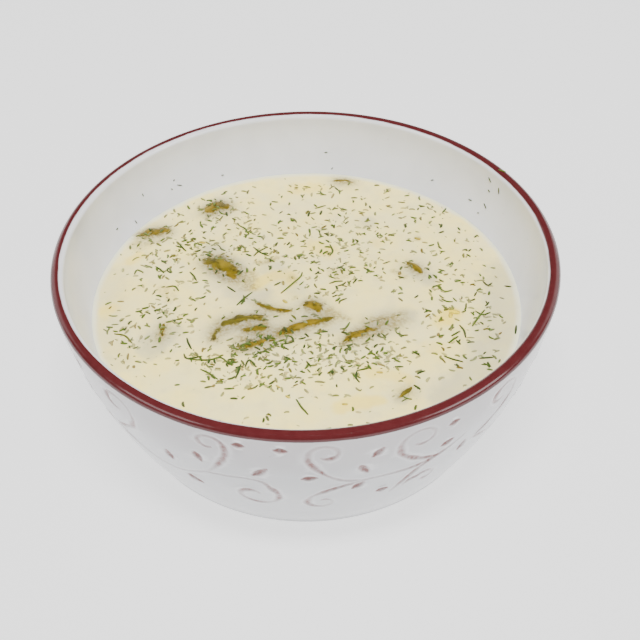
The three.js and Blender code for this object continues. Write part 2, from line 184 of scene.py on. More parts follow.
LEAF_CELL = 0.5
LEAF_THICKNESS = 0.45
LEAF_RIPPLE = 0.16
LEAF_RIPPLE_LENGTH = 5.5
LEAF_END = 0.45
LEAF_TEAR = 0.34
LEAF_TEAR_LENGTH = 2.2
LEAF_NICK = 0.16
LEAF_NICK_LENGTH = 0.9
LEAF_END_TEAR = 1.5
LEAF_CRINKLE = 0.12
LEAF_CRINKLE_LENGTH = 2.2
LEAF_DROOP = 0.4
VEIN_LENGTH = 5
VEIN_RANGE = (0.05, 0.5)

# The soup lies over a leaf's fringe, between these shares of the way out to its edge.
FRINGE_RANGE = (0.3, 1.05)
FRINGE_RAGGEDNESS = 0.25
FRINGE_LENGTH = 1.2
FILM_RANGE = (0.5, -0.1)  # heights over the soup where a leaf is bare, and where it is covered
FILM_PATCHES = 0.22
FILM_PATCH_LENGTH = 1.5
CLIMB = 0.8  # share of a leaf's height that the soup climbs beside it
CLIMB_REACH = 1.1

# What tints the soup: a halo round a sunk leaf, the painted shade about it, and a milky edge.
LEAF_SHOW_DEPTH = 0.5
HALO_RADII = (1.2, 2.8)
HALO_FACTORS = (1.3, 0.7)
HALO_STRENGTH = 0.85
GLOOM_RADIUS = 3.2
GLOOM_FACTOR = 1.7
GLOOM_MOST = 0.9
MILKY_EDGE = (2.6, 0.3)  # begins and is full this far from the soup's rim
STAIN_DEPTH = 1.2  # under this depth nothing is tinted
BLOT_EDGE = (-0.25, 0.6)  # a blot begins and is full at these shares of the way in
BLOT_RAGGED_LENGTHS = (2.6, 1.1)

# Each leaf has a width, and lies in the surface along a spine of [x, y, lift above the level].
LEAVES = {
    "lettuce_left": (8.5, [
        [-35, 19.5, 0.4], [-29.5, 18, 0.7], [-25, 13.5, 0.1], [-22.5, 9, -0.4]]),
    "lettuce_back_left": (6, [
        [-36, 46, -0.1], [-32, 50.3, 0.6], [-26.5, 50, 0.2]]),
    "lettuce_edge": (4.6, [
        [-59, 34.5, 0], [-54, 36, 0.5], [-47.5, 37.8, 0.2]]),
    "lettuce_fold": (4.4, [
        [-13, -9.2, 0.6], [-19, -9.4, 0.7], [-25, -10.6, 0.1], [-28.4, -14.5, 0], [-30, -20, 0.5]]),
    "lettuce_fold_front": (3.4, [
        [-21, -15, 0.2], [-16.5, -14.6, 0.7], [-12.2, -13.9, 0.4]]),
    "lettuce_long": (4, [
        [-23, -24.3, 0.4], [-17, -21.6, 0.6], [-11.5, -18.4, -0.2], [-6, -15.2, 0.2],
        [-1, -12.9, 0.6], [4.5, -11.2, 0.6], [11, -9.2, 0]]),
    "lettuce_mid": (5.2, [[-1.2, -2.8, 0.2], [2.2, -4, 0.7], [5, -6.6, 0.2]]),
    "lettuce_strand": (2, [
        [-17, -0.8, -0.2], [-14, -3.4, 0.3], [-9.5, -5.6, 0.5], [-4.6, -5.9, 0]]),
    "lettuce_right": (4, [
        [11.2, -22, 0.5], [14.5, -18.8, 0.7], [19, -16.2, 0.2], [25, -14.2, -0.2],
        [32.5, -11.6, -0.4]]),
    "lettuce_streak": (1.8, [[18.5, -11.8, 0], [25, -11, 0.2], [32, -8.2, 0]]),
    "lettuce_far_right": (3.2, [
        [34, 16.8, 0.3], [36.6, 14.8, 0.6], [39, 11.2, -0.1]]),
    "lettuce_stem": (2.2, [
        [-45.9, -10.4, 0.2], [-46.2, -15, 0.4], [-46.8, -19.6, 0]]),
    "lettuce_front": (2.2, [
        [26.6, -46.2, 0], [29, -44, 0.4], [31.6, -41.2, 0.1]]),
    "lettuce_back": (2.4, [
        [10.2, 64.6, 0], [14.4, 64.9, 0.3], [18.6, 63.2, 0]]),
}

# What shows through from under the surface: [x, y, radius] blots in a row, with a strength.
OLIVE_BLOTS = [
    ([[-20, 12, 4], [-19, 7.5, 3.5]], 0.75),
    ([[-21, -19, 3], [-12, -18.5, 3], [-6, -16.5, 2.6]], 0.8),
    ([[-24, -9.5, 2.4], [-19, -10.5, 3]], 0.7),
    ([[-17, -11.5, 3], [-13.5, -11.8, 2.6]], 0.9),
    ([[-10, -17.5, 3], [-3, -14.8, 3], [3, -12.5, 2.4]], 0.75),
    ([[5, -5.5, 2.4], [10, -9, 2], [13, -10.5, 1.6]], 0.7),
    ([[7, -5.5, 1.8], [10, -8, 1.6]], 0.75),
    ([[-58, 30, 3.5], [-52, 33, 3]], 0.5),
    ([[-17, 19, 1.2], [-14, 19, 1.2], [-10, 21, 1.2]], 0.85),
    ([[-47, 6, 3], [-45, 1, 2.6]], 0.35),
    ([[30, 13, 1.6], [33, 10, 1.8]], 0.6),
    ([[11, 12, 4.5]], 0.35),
    ([[39, 30, 1.4]], 0.7),
    ([[-5, 10.5, 2]], 0.5),
    ([[-4, 0.5, 1.4]], 0.75),
]
STRAW_BLOTS = [
    ([[-16, 7, 2.6], [-13.5, 10, 3], [-7, 12, 3.4], [-5, 8, 2.4]], 0.55),
    ([[9, -49, 3], [16, -47, 3], [22, -47, 2]], 0.6),
    ([[20, -34, 3], [26, -36, 3], [31, -38, 2]], 0.45),
    ([[-60, 21, 2.6], [-57, 24, 2.4]], 0.5),
    ([[-65, -4, 3.6]], 0.5),
    ([[-2, 61, 4], [6, 61, 3]], 0.4),
    ([[44, -12, 4], [47, -8, 3.4]], 0.75),
    ([[3, 27, 4], [8, 24, 4]], 0.45),
    ([[40, -24, 4]], 0.35),
    ([[25, 28, 3]], 0.35),
]
# Painted shade on the soup: cool grey about the leaves, and the walls' shadow near the rim on the
# right and on the left.
SHADE_BLOTS = [
    ([[-21, 6, 8], [-16, 2, 6]], 0.5),
    ([[-32, 27, 5]], 0.5),
    ([[-21, -13, 7], [-14, -16, 7]], 0.5),
    ([[-1, -15, 6], [8, -12, 6]], 0.45),
    ([[21, -17, 5], [27, -12, 5], [33, -9, 4]], 0.6),
    ([[-49, -21, 6], [-44, -15, 5]], 0.55),
    ([[28, -46, 3]], 0.55),
    ([[37, 13, 4.5], [41, 9, 4]], 0.55),
    ([[22, 40, 4]], 0.35),
    ([[-12, 16, 5], [-3, 5, 5]], 0.35),
    ([[66, 10, 8], [64, -8, 9], [56, -30, 9], [42, -46, 7]], 0.5),
    ([[-66, 14, 7], [-66, -8, 8], [-60, -26, 7]], 0.25),
]

# ---- Sizes of the dill ----

FLAKE_TOTAL = 900
FLAKE_COUNT = 560  # as many of these are strewn, the longest first
STREWN_TOTAL = 860
FLAKE_FALL = 6
FLAKE_LENGTHS = (1.3, 3.8)
FLAKE_LEAST_LENGTHS = (1.43, 2.97)  # of the narrowest and of the widest flakes
FLAKE_WIDTHS = (0.555, 0.925)
FLAKE_BEND = 1.2
FLAKE_LIFT = 0.18
FLAKE_SINKING = 0.12
FLAKE_TIP_SINKING = 0.2
FLAKE_FILM = 0.7
FLAKE_BARE_SHARE = 0.3  # of the flakes, those with no film of soup
FLAKE_SEED = 20617
FLAKE_LIMIT = 68.4  # radius that the dill keeps within
FORK_SHARE = 0.16  # of the flakes, those that are forked
FORK_ANGLE = 0.9
FORK_LENGTH = 0.55
FORK_WIDTH = 0.8
FORK_LIFT = 0.08
BLADE_THICKNESS = 0.55  # in widths
BLADE_TIP = 0.13  # share of its length cut from each end
BLADE_FULLNESS = 0.6
SPRIG_WIDTH = 0.72
SPRIG_STEP = 0.6
SPRIG_LIFT = 0.2
BIT_LIFT = 0.05
BIT_FILM = 0.1
CRUMB_COUNT = 420
CRUMB_SPREAD = 1.15
CRUMB_LENGTHS = (0.4, 1.1)
CRUMB_WIDTH = 0.4
CRUMB_LIFT = 0.06
CRUMB_FILM = 0.6
WALL_CRUMB_WIDTH = 0.55
WALL_CRUMB_TONE = 0.25
WALL_CRUMB_LIFT = 0.12

# Oval patches: [x, y, half width, half height, share of the flakes].
DILL_PATCHES = [
    [-12, -30, 26, 12, 0.25],
    [-45, 12, 13, 25, 0.14],
    [50, -10, 15, 27, 0.17],
    [-15, 26, 11, 13, 0.07],
    [8, 8, 12, 10, 0.06],
    [5, 50, 46, 15, 0.11],
    [3, 2, 65, 60, 0.2],
]

# The thinner scatter over the whole of the soup.
STREWN_PATCHES = [
    [0, 2, 66, 62, 0.38],
    [34, 32, 30, 24, 0.14],
    [-40, 36, 24, 17, 0.12],
    [-50, -16, 14, 14, 0.05],
    [22, -24, 14, 9, 0.05],
    [-2, -27, 33, 12, 0.18],
    [4, 26, 26, 14, 0.08],
]

# The longest sprigs, each through [x, y] points, with its tone from 0, dark, to 1, yellowish.
SPRIGS = [
    ([[-8.5, 3], [-4.8, 7.2], [-1.9, 10.8], [-1.3, 13.1]], 0.6),
    ([[-22.9, -2.3], [-20.5, 1.1], [-17.9, 3.8]], 0.3),
    ([[-20.8, 2.4], [-20.6, 0.4], [-21.4, -2]], 0.4),
    ([[-26.3, 6.9], [-23.5, 4.2]], 0.1),
    ([[-18, 26.8], [-15.5, 24], [-12.5, 22]], 0.2),
    ([[-17.8, 22.1], [-16.2, 24.5], [-13.5, 26.6]], 0.3),
    ([[-23.3, 39.1], [-21.1, 37.3], [-20.3, 35.2]], 0.4),
    ([[7.7, 6.8], [9.8, 7.8], [12.2, 8]], 0.4),
    ([[10.4, 5.5], [12.1, 6.2], [13.2, 7.5]], 0.1),
    ([[10.6, -3.1], [11, -1.8], [13.2, -0.7]], 0.4),
    ([[10.4, -15.1], [12.3, -14.7], [13.7, -12.1]], 0.4),
    ([[-6.8, -17.7], [-5.1, -18.2], [-4.6, -20.5], [-7.2, -21.6]], 0.2),
    ([[-7.5, -13.4], [-6.5, -16]], 0.1),
    ([[-10.7, 6.9], [-8.5, 8.4]], 0.1),
    ([[8.5, 27.9], [9.3, 24.3], [8.3, 21.9]], 0.4),
    ([[-16.7, -26.5], [-15.1, -25.2], [-12.9, -24.8]], 0.3),
    ([[-18.2, -28.3], [-16.3, -30.5]], 0.2),
    ([[-19.4, -31.5], [-18.3, -28.6], [-15.9, -31.6]], 0.1),
    ([[-57.8, 13.8], [-57.1, 16], [-54.8, 14.7]], 0.5),
    ([[-46.7, 6.9], [-43.9, 7.3], [-42.3, 4.9]], 0.4),
    ([[-38.2, -18], [-37.6, -20.2], [-36.4, -23.1]], 0.1),
    ([[-38.7, -24.9], [-37.6, -27], [-32.9, -26.3]], 0.1),
    ([[-37.3, -27.3], [-30.8, -28], [-27, -27.3], [-24.2, -30.5]], 0.4),
    ([[-33.2, -31.9], [-30.5, -33.8], [-27.6, -36.5]], 0.5),
    ([[-61.4, -15.4], [-57.9, -16.5], [-55.4, -19.7]], 0.9),
    ([[-44.1, 30.3], [-42.3, 27.1], [-41.1, 25.6]], 0.3),
    ([[-39.2, 14.4], [-37.8, 12.4], [-36.7, 10]], 0.3),
    ([[-51, 17.8], [-49.3, 16.2], [-47.9, 14.2]], 0.3),
    ([[-3.7, -45.6], [-2, -49.1], [-0.2, -51.8]], 0.4),
    ([[-25.6, -40.6], [-22.4, -40.5]], 0.4),
    ([[-22.2, -36.3], [-21.2, -32.6], [-20.7, -30.2]], 0.2),
    ([[52.8, -15], [55.2, -11], [57.8, -7.3]], 0.6),
    ([[54.6, -7.9], [56.9, -9.7], [59.5, -8.5]], 0.3),
    ([[45.6, -19.6], [48.6, -17.3]], 0.4),
    ([[44.4, -22.6], [47.8, -19.7]], 0.5),
    ([[48.8, -14.4], [49.9, -17.1], [50.1, -20.4]], 0.1),
    ([[42.4, -28.3], [44.9, -29.8], [48, -31.2]], 0.2),
    ([[59, 6.8], [60.3, 4.8], [61.9, 6]], 0),
    ([[65.8, 4.4], [68, 3.8]], 0.1),
    ([[66.9, -15.2], [66, -19.2]], 0),
    ([[15.1, -33.8], [18.8, -32.8]], 0.4),
    ([[15.1, -33.8], [14.6, -36.8], [15.6, -39]], 0.1),
    ([[28.3, -17.4], [30.6, -18.9]], 0.3),
    ([[32.8, -25.7], [34.9, -27.6]], 0.2),
    ([[26.8, -32.4], [29.5, -32.5]], 0.2),
    ([[53.2, -29.8], [57.8, -29.4]], 0),
    ([[43.5, 5.1], [45.7, 2.2], [48.3, 2.9]], 0.6),
    ([[44.3, -1.5], [45.9, -2.8], [47.9, -3]], 0.4),
    ([[3.7, 48.3], [7.6, 50]], 0.5),
]

# Bits of lettuce and seasoning: [x, y, length, width, tone], where tone 1 is brown and 1.6 yellow.
BITS = [
    [-35.8, 30.3, 2.2, 1.3, 1.25], [-7.1, -1, 2, 1.2, 1.3], [-6.2, -44.3, 1.7, 1, 1.4],
    [-9.2, -40.1, 1.6, 0.9, 1.3], [-7.7, 8, 2, 1, 1.15], [31.5, 11.9, 2, 1.2, 1.05],
    [39, 30.2, 2.2, 1.4, 1.2], [41.6, -18.5, 1.5, 1.1, 1], [42.3, -19.8, 1.3, 0.9, 1],
    [47.8, -7.9, 3.6, 2.2, 1.6], [46.4, -9.6, 2.4, 1.4, 1.45], [22, -34.7, 2, 1, 1.3],
    [10.8, -47.7, 1.8, 0.9, 1.3], [-61, 0.2, 2.2, 0.8, 1], [-28.8, -39.1, 1.2, 1.1, 1],
    [-53.9, -29.9, 1.1, 1, 1], [-57.5, -27.6, 1.2, 0.9, 1], [-45.9, 17.3, 1.2, 1, 0.95],
    [-36.9, -10.1, 1.8, 1.2, 0.7],
]

# Dill that stuck to the bowl: [degrees round from the front, height, length] on the inner wall.
WALL_CRUMBS = [
    [122.2, 60.7, 1.9], [121.5, 56.8, 1.1], [118.1, 59.5, 2.1], [126.6, 49.9, 1.5],
    [121, 51.4, 2], [122.3, 47.9, 0.9], [-141.6, 49, 1.9], [-129.4, 52.3, 1.1],
    [-123.5, 46.2, 1.2], [-116.3, 48.9, 1], [-155.3, 47.1, 1], [173.5, 51, 1.2],
    [171.5, 45.6, 0.9], [140.5, 49.6, 1], [-140.4, 51.4, 0.7], [-138.9, 48.9, 0.8],
]
RIM_CRUMB = [[66.5, 39.7], [67.6, 39.2], [68.8, 38.3]]
RIM_CRUMB_WIDTH = 0.9
RIM_CRUMB_TONE = 0.7
RIM_CRUMB_LIFT = 0.1

# ---- Colours ----

GLAZE_WHITE = (0.63, 0.635, 0.65, 1)
GLAZE_GREYER = (0.59, 0.595, 0.61, 1)
GLAZE_PIT = (0.3, 0.27, 0.24, 1)
# partly red wash tint, partly painted shade under the lip
GLAZE_HAZE_AND_SHADE = (0.3, 0.15, 0.14, 1)
# painted highlight on the ornament's lips
GLAZE_LIP_HIGHLIGHT = (0.76, 0.76, 0.77, 1)
WASH_BROWN = (0.25, 0.092, 0.08, 1)
BAND_RED = (0.06, 0.009, 0.01, 1)
BAND_LIGHTER_RED = (0.066, 0.011, 0.012, 1)
BARE_CLAY = (0.6, 0.52, 0.42, 1)

CREAM = (0.87, 0.725, 0.245, 1)
CREAM_PALER = (0.8, 0.69, 0.31, 1)
# painted shade of the soup's lumps
CREAM_LUMP_SHADE = (0.63, 0.55, 0.27, 1)
CREAM_SHADED = (0.34, 0.335, 0.26, 1)
CREAM_STRAW = (0.86, 0.64, 0.07, 1)
CREAM_MILKY = (0.68, 0.67, 0.5, 1)
CREAM_OLIVE = (0.21, 0.155, 0.032, 1)
CREAM_DUST = (0.17, 0.2, 0.09, 1)

LEAF_GOLD = (0.165, 0.108, 0.006, 1)
LEAF_OLIVE = (0.095, 0.07, 0.006, 1)
LEAF_GREEN = (0.085, 0.072, 0.009, 1)
LEAF_DARK = (0.045, 0.038, 0.007, 1)
LEAF_VEIN = (0.25, 0.175, 0.015, 1)

DILL_DARK = (0.036, 0.06, 0.012, 1)
DILL_GREEN = (0.09, 0.142, 0.016, 1)
DILL_BROWN = (0.17, 0.125, 0.02, 1)
DILL_SHADOW = (0.022, 0.03, 0.008, 1)
BIT_YELLOW = (0.85, 0.66, 0.03, 1)

FLOOR_GREY = (0.2, 0.2, 0.2, 1)
WHITE = (1, 1, 1, 1)

# ---- The stage, in metres and watts ----

FLOOR_SIZE = 24
FLOOR_GLOW = 1.6
SKY_GLOW = 0.06
LIT_PLACE = (0, 0, 0.04)  # all the lamps face it

# Each lamp: place, width and height, power, and whether the glaze mirrors it.
LAMPS = {
    "key_softbox": ((0, -0.31, 1.0), (0.35, 0.14), 26, False),
    "left_softbox": ((-0.8, -0.4, 0.7), (0.6, 0.4), 3, True),
    "right_softbox": ((0.85, -0.35, 0.6), (0.6, 0.4), 5, True),
    "back_panel": ((0, 1.2, 0.2), (2.4, 0.4), 4.5, True),
    "back_left_panel": ((-1.0, 0.8, 0.5), (0.9, 0.8), 3, True),
    "back_right_panel": ((1.0, 0.8, 0.5), (0.9, 0.8), 3, True),
}

# ---- The photograph's view ----

CAMERA_DISTANCE = 369.5  # from the middle of the rim
CAMERA_ELEVATION = 39.2
CAMERA_YAW = 0.64
CAMERA_PITCH = -3.58
CAMERA_ROLL = -1.13
CAMERA_LENS = 65.6


# ---- Shared shapes ----


def deselect_everything():
    bpy.ops.object.select_all(action="DESELECT")


def apply_modifier(piece, kind, **settings):
    modifier = piece.modifiers.new(kind.title(), kind)
    for name, value in settings.items():
        setattr(modifier, name, value)
    bpy.context.view_layer.objects.active = piece
    bpy.ops.object.modifier_apply(modifier=modifier.name)


def vertex_places(piece):
    """The piece's vertices as rows of x, y, z in millimetres."""
    places = np.empty(3 * len(piece.data.vertices))
    piece.data.vertices.foreach_get("co", places)
    return places.reshape(-1, 3) / MM


def move_vertices(piece, places):
    piece.data.vertices.foreach_set("co", (places * MM).ravel())
    piece.data.update()


def write_attribute(piece, name, values):
    attribute = piece.data.attributes.new(name, "FLOAT", "POINT")
    attribute.data.foreach_set("value", np.asarray(values, np.float32))


def join_arrays(name, shapes, material):
    """One mesh from many small closed shapes, each a pair of points and faces."""
    points, faces = [], []
    for shape_points, shape_faces in shapes:
        first = len(points)
        points.extend(shape_points)
        faces.extend([first + corner for corner in face] for face in shape_faces)
    mesh = bpy.data.meshes.new(name)
    mesh.from_pydata((np.array(points) * MM).tolist(), [], faces)
    mesh.materials.append(material)
    piece = bpy.data.objects.new(name, mesh)
    bpy.context.scene.collection.objects.link(piece)
    deselect_everything()
    piece.select_set(True)
    bpy.context.view_layer.objects.active = piece
    bpy.ops.object.shade_smooth()
    return piece


def tube_faces(stations, around):
    """Faces over a row of closed rings of points, with a cap at each end."""
    faces = [list(range(around))[::-1]]
    for station in range(stations - 1):
        for corner in range(around):
            here = station * around + corner
            beside = station * around + (corner + 1) % around
            faces.append([here, beside, beside + around, here + around])
    faces.append([(stations - 1) * around + corner for corner in range(around)])
    return faces


def spline(points, step):
    """Evenly spaced points, a step apart, on a smooth curve through the given ones."""
    points = np.asarray(points, float)
    padded = np.vstack([2 * points[0] - points[1], points, 2 * points[-1] - points[-2]])
    t = np.linspace(0, 1, 20, endpoint=False)[:, None]
    stretches = []
    for before, start, end, after in zip(padded, padded[1:], padded[2:], padded[3:]):
        stretches.append(start + 0.5 * t * (
            end - before
            + t * (2 * before - 5 * start + 4 * end - after)
            + t * t * (3 * start - before - 3 * end + after)))
    dense = np.vstack(stretches + [points[-1:]])
    travelled = np.append(0, np.cumsum(np.linalg.norm(np.diff(dense, axis=0), axis=1)))
    count = max(3, round(travelled[-1] / step) + 1)
    even = np.linspace(0, travelled[-1], count)
    return np.column_stack([np.interp(even, travelled, column) for column in dense.T])


def straight(length, heading, count):
    """Flat points along a straight line with its middle at the origin."""
    return np.linspace(-0.5, 0.5, count)[:, None] * length * [cos(heading), sin(heading)]


def directions(path):
    """Unit vectors along a path."""
    along = np.gradient(path, axis=0)
    return along / np.linalg.norm(along, axis=1)[:, None]


def ease(low, high, value):
    """A soft step from 0 at low to 1 at high."""
    share = np.clip((value - low) / (high - low), 0, 1)
    return share * share * (3 - 2 * share)


def between(limits, share):
    """The value that lies a share of the way from the first limit to the second."""
    return limits[0] + (limits[1] - limits[0]) * share


def noise_at(x, y, seed):
    """Smooth noise from about -1 to 1 at each of the places."""
    return np.array([noise.noise((a, b, seed)) for a, b in zip(np.ravel(x), np.ravel(y))])


def seeded_random(seed):
    """Repeatable random numbers from 0 to 1."""
    mask = 0xFFFFFFFF
    state = seed
    while True:
        state = (state + 0x6D2B79F5) & mask
        mixed = ((state ^ (state >> 15)) * (state | 1)) & mask
        mixed ^= (mixed + (mixed ^ (mixed >> 7)) * (mixed | 61)) & mask
        yield (mixed ^ (mixed >> 14)) / 2**32


# ---- Material helpers ----


def new_material(name, **settings):
    """A node material, with plain values on the shader's own sockets."""
    material = bpy.data.materials.new(name)
    material.use_nodes = True
    shader = material.node_tree.nodes["Principled BSDF"]
    for socket, value in settings.items():
        shader.inputs[socket.replace("_", " ")].default_value = value
    return material, material.node_tree, shader


def add_node(tree, kind, sockets=None, **settings):
    """A node with its settings, its input sockets set to values or linked to other sockets."""
    node = tree.nodes.new(kind)
    for name, value in settings.items():
        setattr(node, name, value)
    for name, value in (sockets or {}).items():
        if isinstance(value, bpy.types.NodeSocket):
            tree.links.new(value, node.inputs[name])
        else:
            node.inputs[name].default_value = value
    return node


def object_place(tree):
    return add_node(tree, "ShaderNodeTexCoord").outputs["Object"]


def read_attribute(tree, name):
    return add_node(tree, "ShaderNodeAttribute", attribute_name=name).outputs["Fac"]


def calculate(tree, operation, first, second=0.0):
    node = add_node(tree, "ShaderNodeMath", {0: first, 1: second}, operation=operation)
    return node.outputs[0]


def times(tree, first, second):
    return calculate(tree, "MULTIPLY", first, second)


def step_between(tree, value, low, high):
    """0 below low and 1 above high, with a soft step between."""
    node = add_node(
        tree, "ShaderNodeMapRange",
        {"Value": value, "From Min": low, "From Max": high},
        interpolation_type="SMOOTHSTEP")
    return node.outputs["Result"]


def mix_colours(tree, share, first, second):
    node = add_node(tree, "ShaderNodeMix", {0: share, 6: first, 7: second}, data_type="RGBA")
    return node.outputs[2]


def tint(tree, colour, *layers):
    """A colour with others laid over it in turn, each by its share."""
    for share, over in layers:
        colour = mix_colours(tree, share, colour, over)
    return colour


def vary(tree, share, low, high):
    """A value from low to high by a share from 0 to 1."""
    node = add_node(tree, "ShaderNodeMapRange", {"Value": share, "To Min": low, "To Max": high})
    return node.outputs["Result"]


def set_shader(tree, shader, colour, roughness=None):
    tree.links.new(colour, shader.inputs["Base Color"])
    if roughness is not None:
        tree.links.new(roughness, shader.inputs["Roughness"])


def set_bump(tree, shader, height, distance, strength):
    bump = add_node(tree, "ShaderNodeBump",
                    {"Height": height, "Distance": distance * MM, "Strength": strength})
    tree.links.new(bump.outputs["Normal"], shader.inputs["Normal"])


def new_group(name, **values):
    """A group with a vector and the named values going in, and a mask coming out."""
    group = bpy.data.node_groups.new(name, "ShaderNodeTree")
    group.interface.new_socket("Vector", in_out="INPUT", socket_type="NodeSocketVector")
    for label, value in values.items():
        socket = group.interface.new_socket(label, in_out="INPUT", socket_type="NodeSocketFloat")
        socket.default_value = value
    group.interface.new_socket("Mask", in_out="OUTPUT", socket_type="NodeSocketFloat")
    return group, group.nodes.new("NodeGroupInput").outputs, group.nodes.new("NodeGroupOutput")


def build_mottle():
    """A group for soft uneven patches: cells of a size in millimetres, as a mask from 0 to 1."""
    group, start, end = new_group("mottle", Size=5.0, Detail=2.0, Low=0.3, High=0.7)
    scale = calculate(group, "DIVIDE", 1 / MM, start["Size"])
    cloud = add_node(group, "ShaderNodeTexNoise",
                     {"Vector": start["Vector"], "Scale": scale, "Detail": start["Detail"]})
    mask = step_between(group, cloud.outputs[0], start["Low"], start["High"])
    group.links.new(mask, end.inputs["Mask"])
    return group


def build_specks():
    """A group for scattered round specks: spacing and radius in millimetres, share kept."""
    group, start, end = new_group("specks", Spacing=5.0, Radius=0.3, Share=0.3)
    scale = calculate(group, "DIVIDE", 1 / MM, start["Spacing"])
    cells = add_node(group, "ShaderNodeTexVoronoi", {"Vector": start["Vector"], "Scale": scale})
    reach = calculate(group, "DIVIDE", start["Radius"], start["Spacing"])
    near = calculate(group, "LESS_THAN", cells.outputs["Distance"], reach)
    pick = add_node(group, "ShaderNodeSeparateColor", {0: cells.outputs["Color"]}).outputs[0]
    kept = calculate(group, "LESS_THAN", pick, start["Share"])
    group.links.new(times(group, near, kept), end.inputs["Mask"])
    return group


MOTTLE = build_mottle()
SPECKS = build_specks()


def use_group(tree, group, **values):
    sockets = {"Vector": object_place(tree), **values}
    return add_node(tree, "ShaderNodeGroup", sockets, node_tree=group).outputs["Mask"]


def mottle(tree, size, detail=2.0, low=0.3, high=0.7):
    return use_group(tree, MOTTLE, Size=size, Detail=detail, Low=low, High=high)


def specks(tree, spacing, radius, share):
    return use_group(tree, SPECKS, Spacing=spacing, Radius=radius, Share=share)


# ---- Materials ----


def ornamented_white(tree, radius, height):
    """White glaze, hazed red outside towards the band with painted shade under the lip, with a
    painted highlight on the ornament's lips, and the wash.
    """
    outside = step_between(tree, radius, HAZE_AND_SHADE_RADII[0] * MM, HAZE_AND_SHADE_RADII[1] * MM)
    upward = step_between(tree, height, HAZE_AND_SHADE_HEIGHTS[0] * MM, HAZE_AND_SHADE_HEIGHTS[1] * MM)
    uneven = vary(tree, mottle(tree, 1.3, 3), 0.6, 1.1)
    wash = times(tree, read_attribute(tree, "wash"), uneven)
    return tint(
        tree, GLAZE_WHITE,
        (mottle(tree, 14), GLAZE_GREYER),
        (times(tree, specks(tree, 6, 0.22, 0.3), 0.5), GLAZE_PIT),
        # the red haze, partly painted shade, grows darker towards the lip outside
        (times(tree, outside, vary(tree, upward, *HAZE_AND_SHADE_SHARES)), GLAZE_HAZE_AND_SHADE),
        # painted highlight: the glaze is lightened on the lips beside each line, where light
        # catches them
        (times(tree, read_attribute(tree, "lip"), 0.8), GLAZE_LIP_HIGHLIGHT),
        (add_node(tree, "ShaderNodeClamp", {0: wash}).outputs[0], WASH_BROWN))


def make_glaze():
    """White glaze with a dark red band round the lip and a red-brown wash on the ornament."""
    material, tree, shader = new_material(
        "white_glaze", Specular_IOR_Level=0.5, Coat_Weight=0.15, Coat_Roughness=0.08)
    x, y, height = add_node(tree, "ShaderNodeSeparateXYZ", {0: object_place(tree)}).outputs
    radius = calculate(tree, "SQRT", calculate(
        tree, "ADD", times(tree, x, x), times(tree, y, y)))
    white = ornamented_white(tree, radius, height)

    waver = times(tree, mottle(tree, 9, low=0, high=1), BAND_WAVER * MM)
    low_edge = calculate(tree, "ADD", BAND_LOW * MM, waver)
    over_low = calculate(tree, "SUBTRACT", height, low_edge)
    drift = times(tree, x, -BAND_DRIFT / RIM_RADIUS)
    inner_edge = calculate(
        tree, "ADD", BAND_INNER_RADIUS * MM, calculate(tree, "ADD", drift, waver))
    over_inner = calculate(tree, "SUBTRACT", radius, inner_edge)
    soft = BAND_SOFTNESS * MM
    band = times(tree, step_between(tree, over_low, -soft, soft),
                 step_between(tree, over_inner, -soft, soft))
    red = mix_colours(tree, mottle(tree, 2.5), BAND_RED, BAND_LIGHTER_RED)
    bare = step_between(tree, height, BARE_FOOT[0] * MM, BARE_FOOT[1] * MM)
    gloss = vary(tree, mottle(tree, 6), 0.17, 0.21)
    set_shader(tree, shader, tint(tree, white, (band, red), (bare, BARE_CLAY)),
               calculate(tree, "MAXIMUM", gloss, times(tree, bare, 0.8)))
    set_bump(tree, shader, mottle(tree, 7, 1, 0, 1), distance=0.12, strength=0.6)
    return material


def soup_colour(tree):
    """Cream, tinted by what lies under it, with painted shade over its lumps, about the leaves and
    near the wall. The soup and the films of it all share this.
    """
    grain = vary(tree, mottle(tree, 0.9, 3, 0.35, 0.65), 0.35, 1)
    return tint(
        tree, CREAM,
        (mottle(tree, 11, 3, 0.32, 0.68), CREAM_PALER),
        # painted shade: grey-cream patches stand in for the shading of the lumps
        (times(tree, mottle(tree, 5, 3, 0.48, 0.75), 0.4), CREAM_LUMP_SHADE),
        # painted shade about the leaves and near the wall
        (read_attribute(tree, "shade"), CREAM_SHADED),
        (read_attribute(tree, "straw"), CREAM_STRAW),
        (read_attribute(tree, "thin"), CREAM_MILKY),
        (times(tree, read_attribute(tree, "olive"), grain), CREAM_OLIVE))


def make_soup_material():
    """Smooth wet cream with a dust of the finest green crumbs."""
    material, tree, shader = new_material(
        "cream_soup", Subsurface_Weight=0.2, Subsurface_Radius=(1, 0.8, 0.5),
        Subsurface_Scale=1.5 * MM, Specular_IOR_Level=0.35)
    dust = times(tree, specks(tree, 3.2, 0.2, 0.35), 0.45)
    set_shader(tree, shader, mix_colours(tree, dust, soup_colour(tree), CREAM_DUST),
               vary(tree, mottle(tree, 5), 0.3, 0.42))
    set_bump(tree, shader, mottle(tree, 2.2, 3, 0, 1), distance=0.12, strength=0.5)
    return material


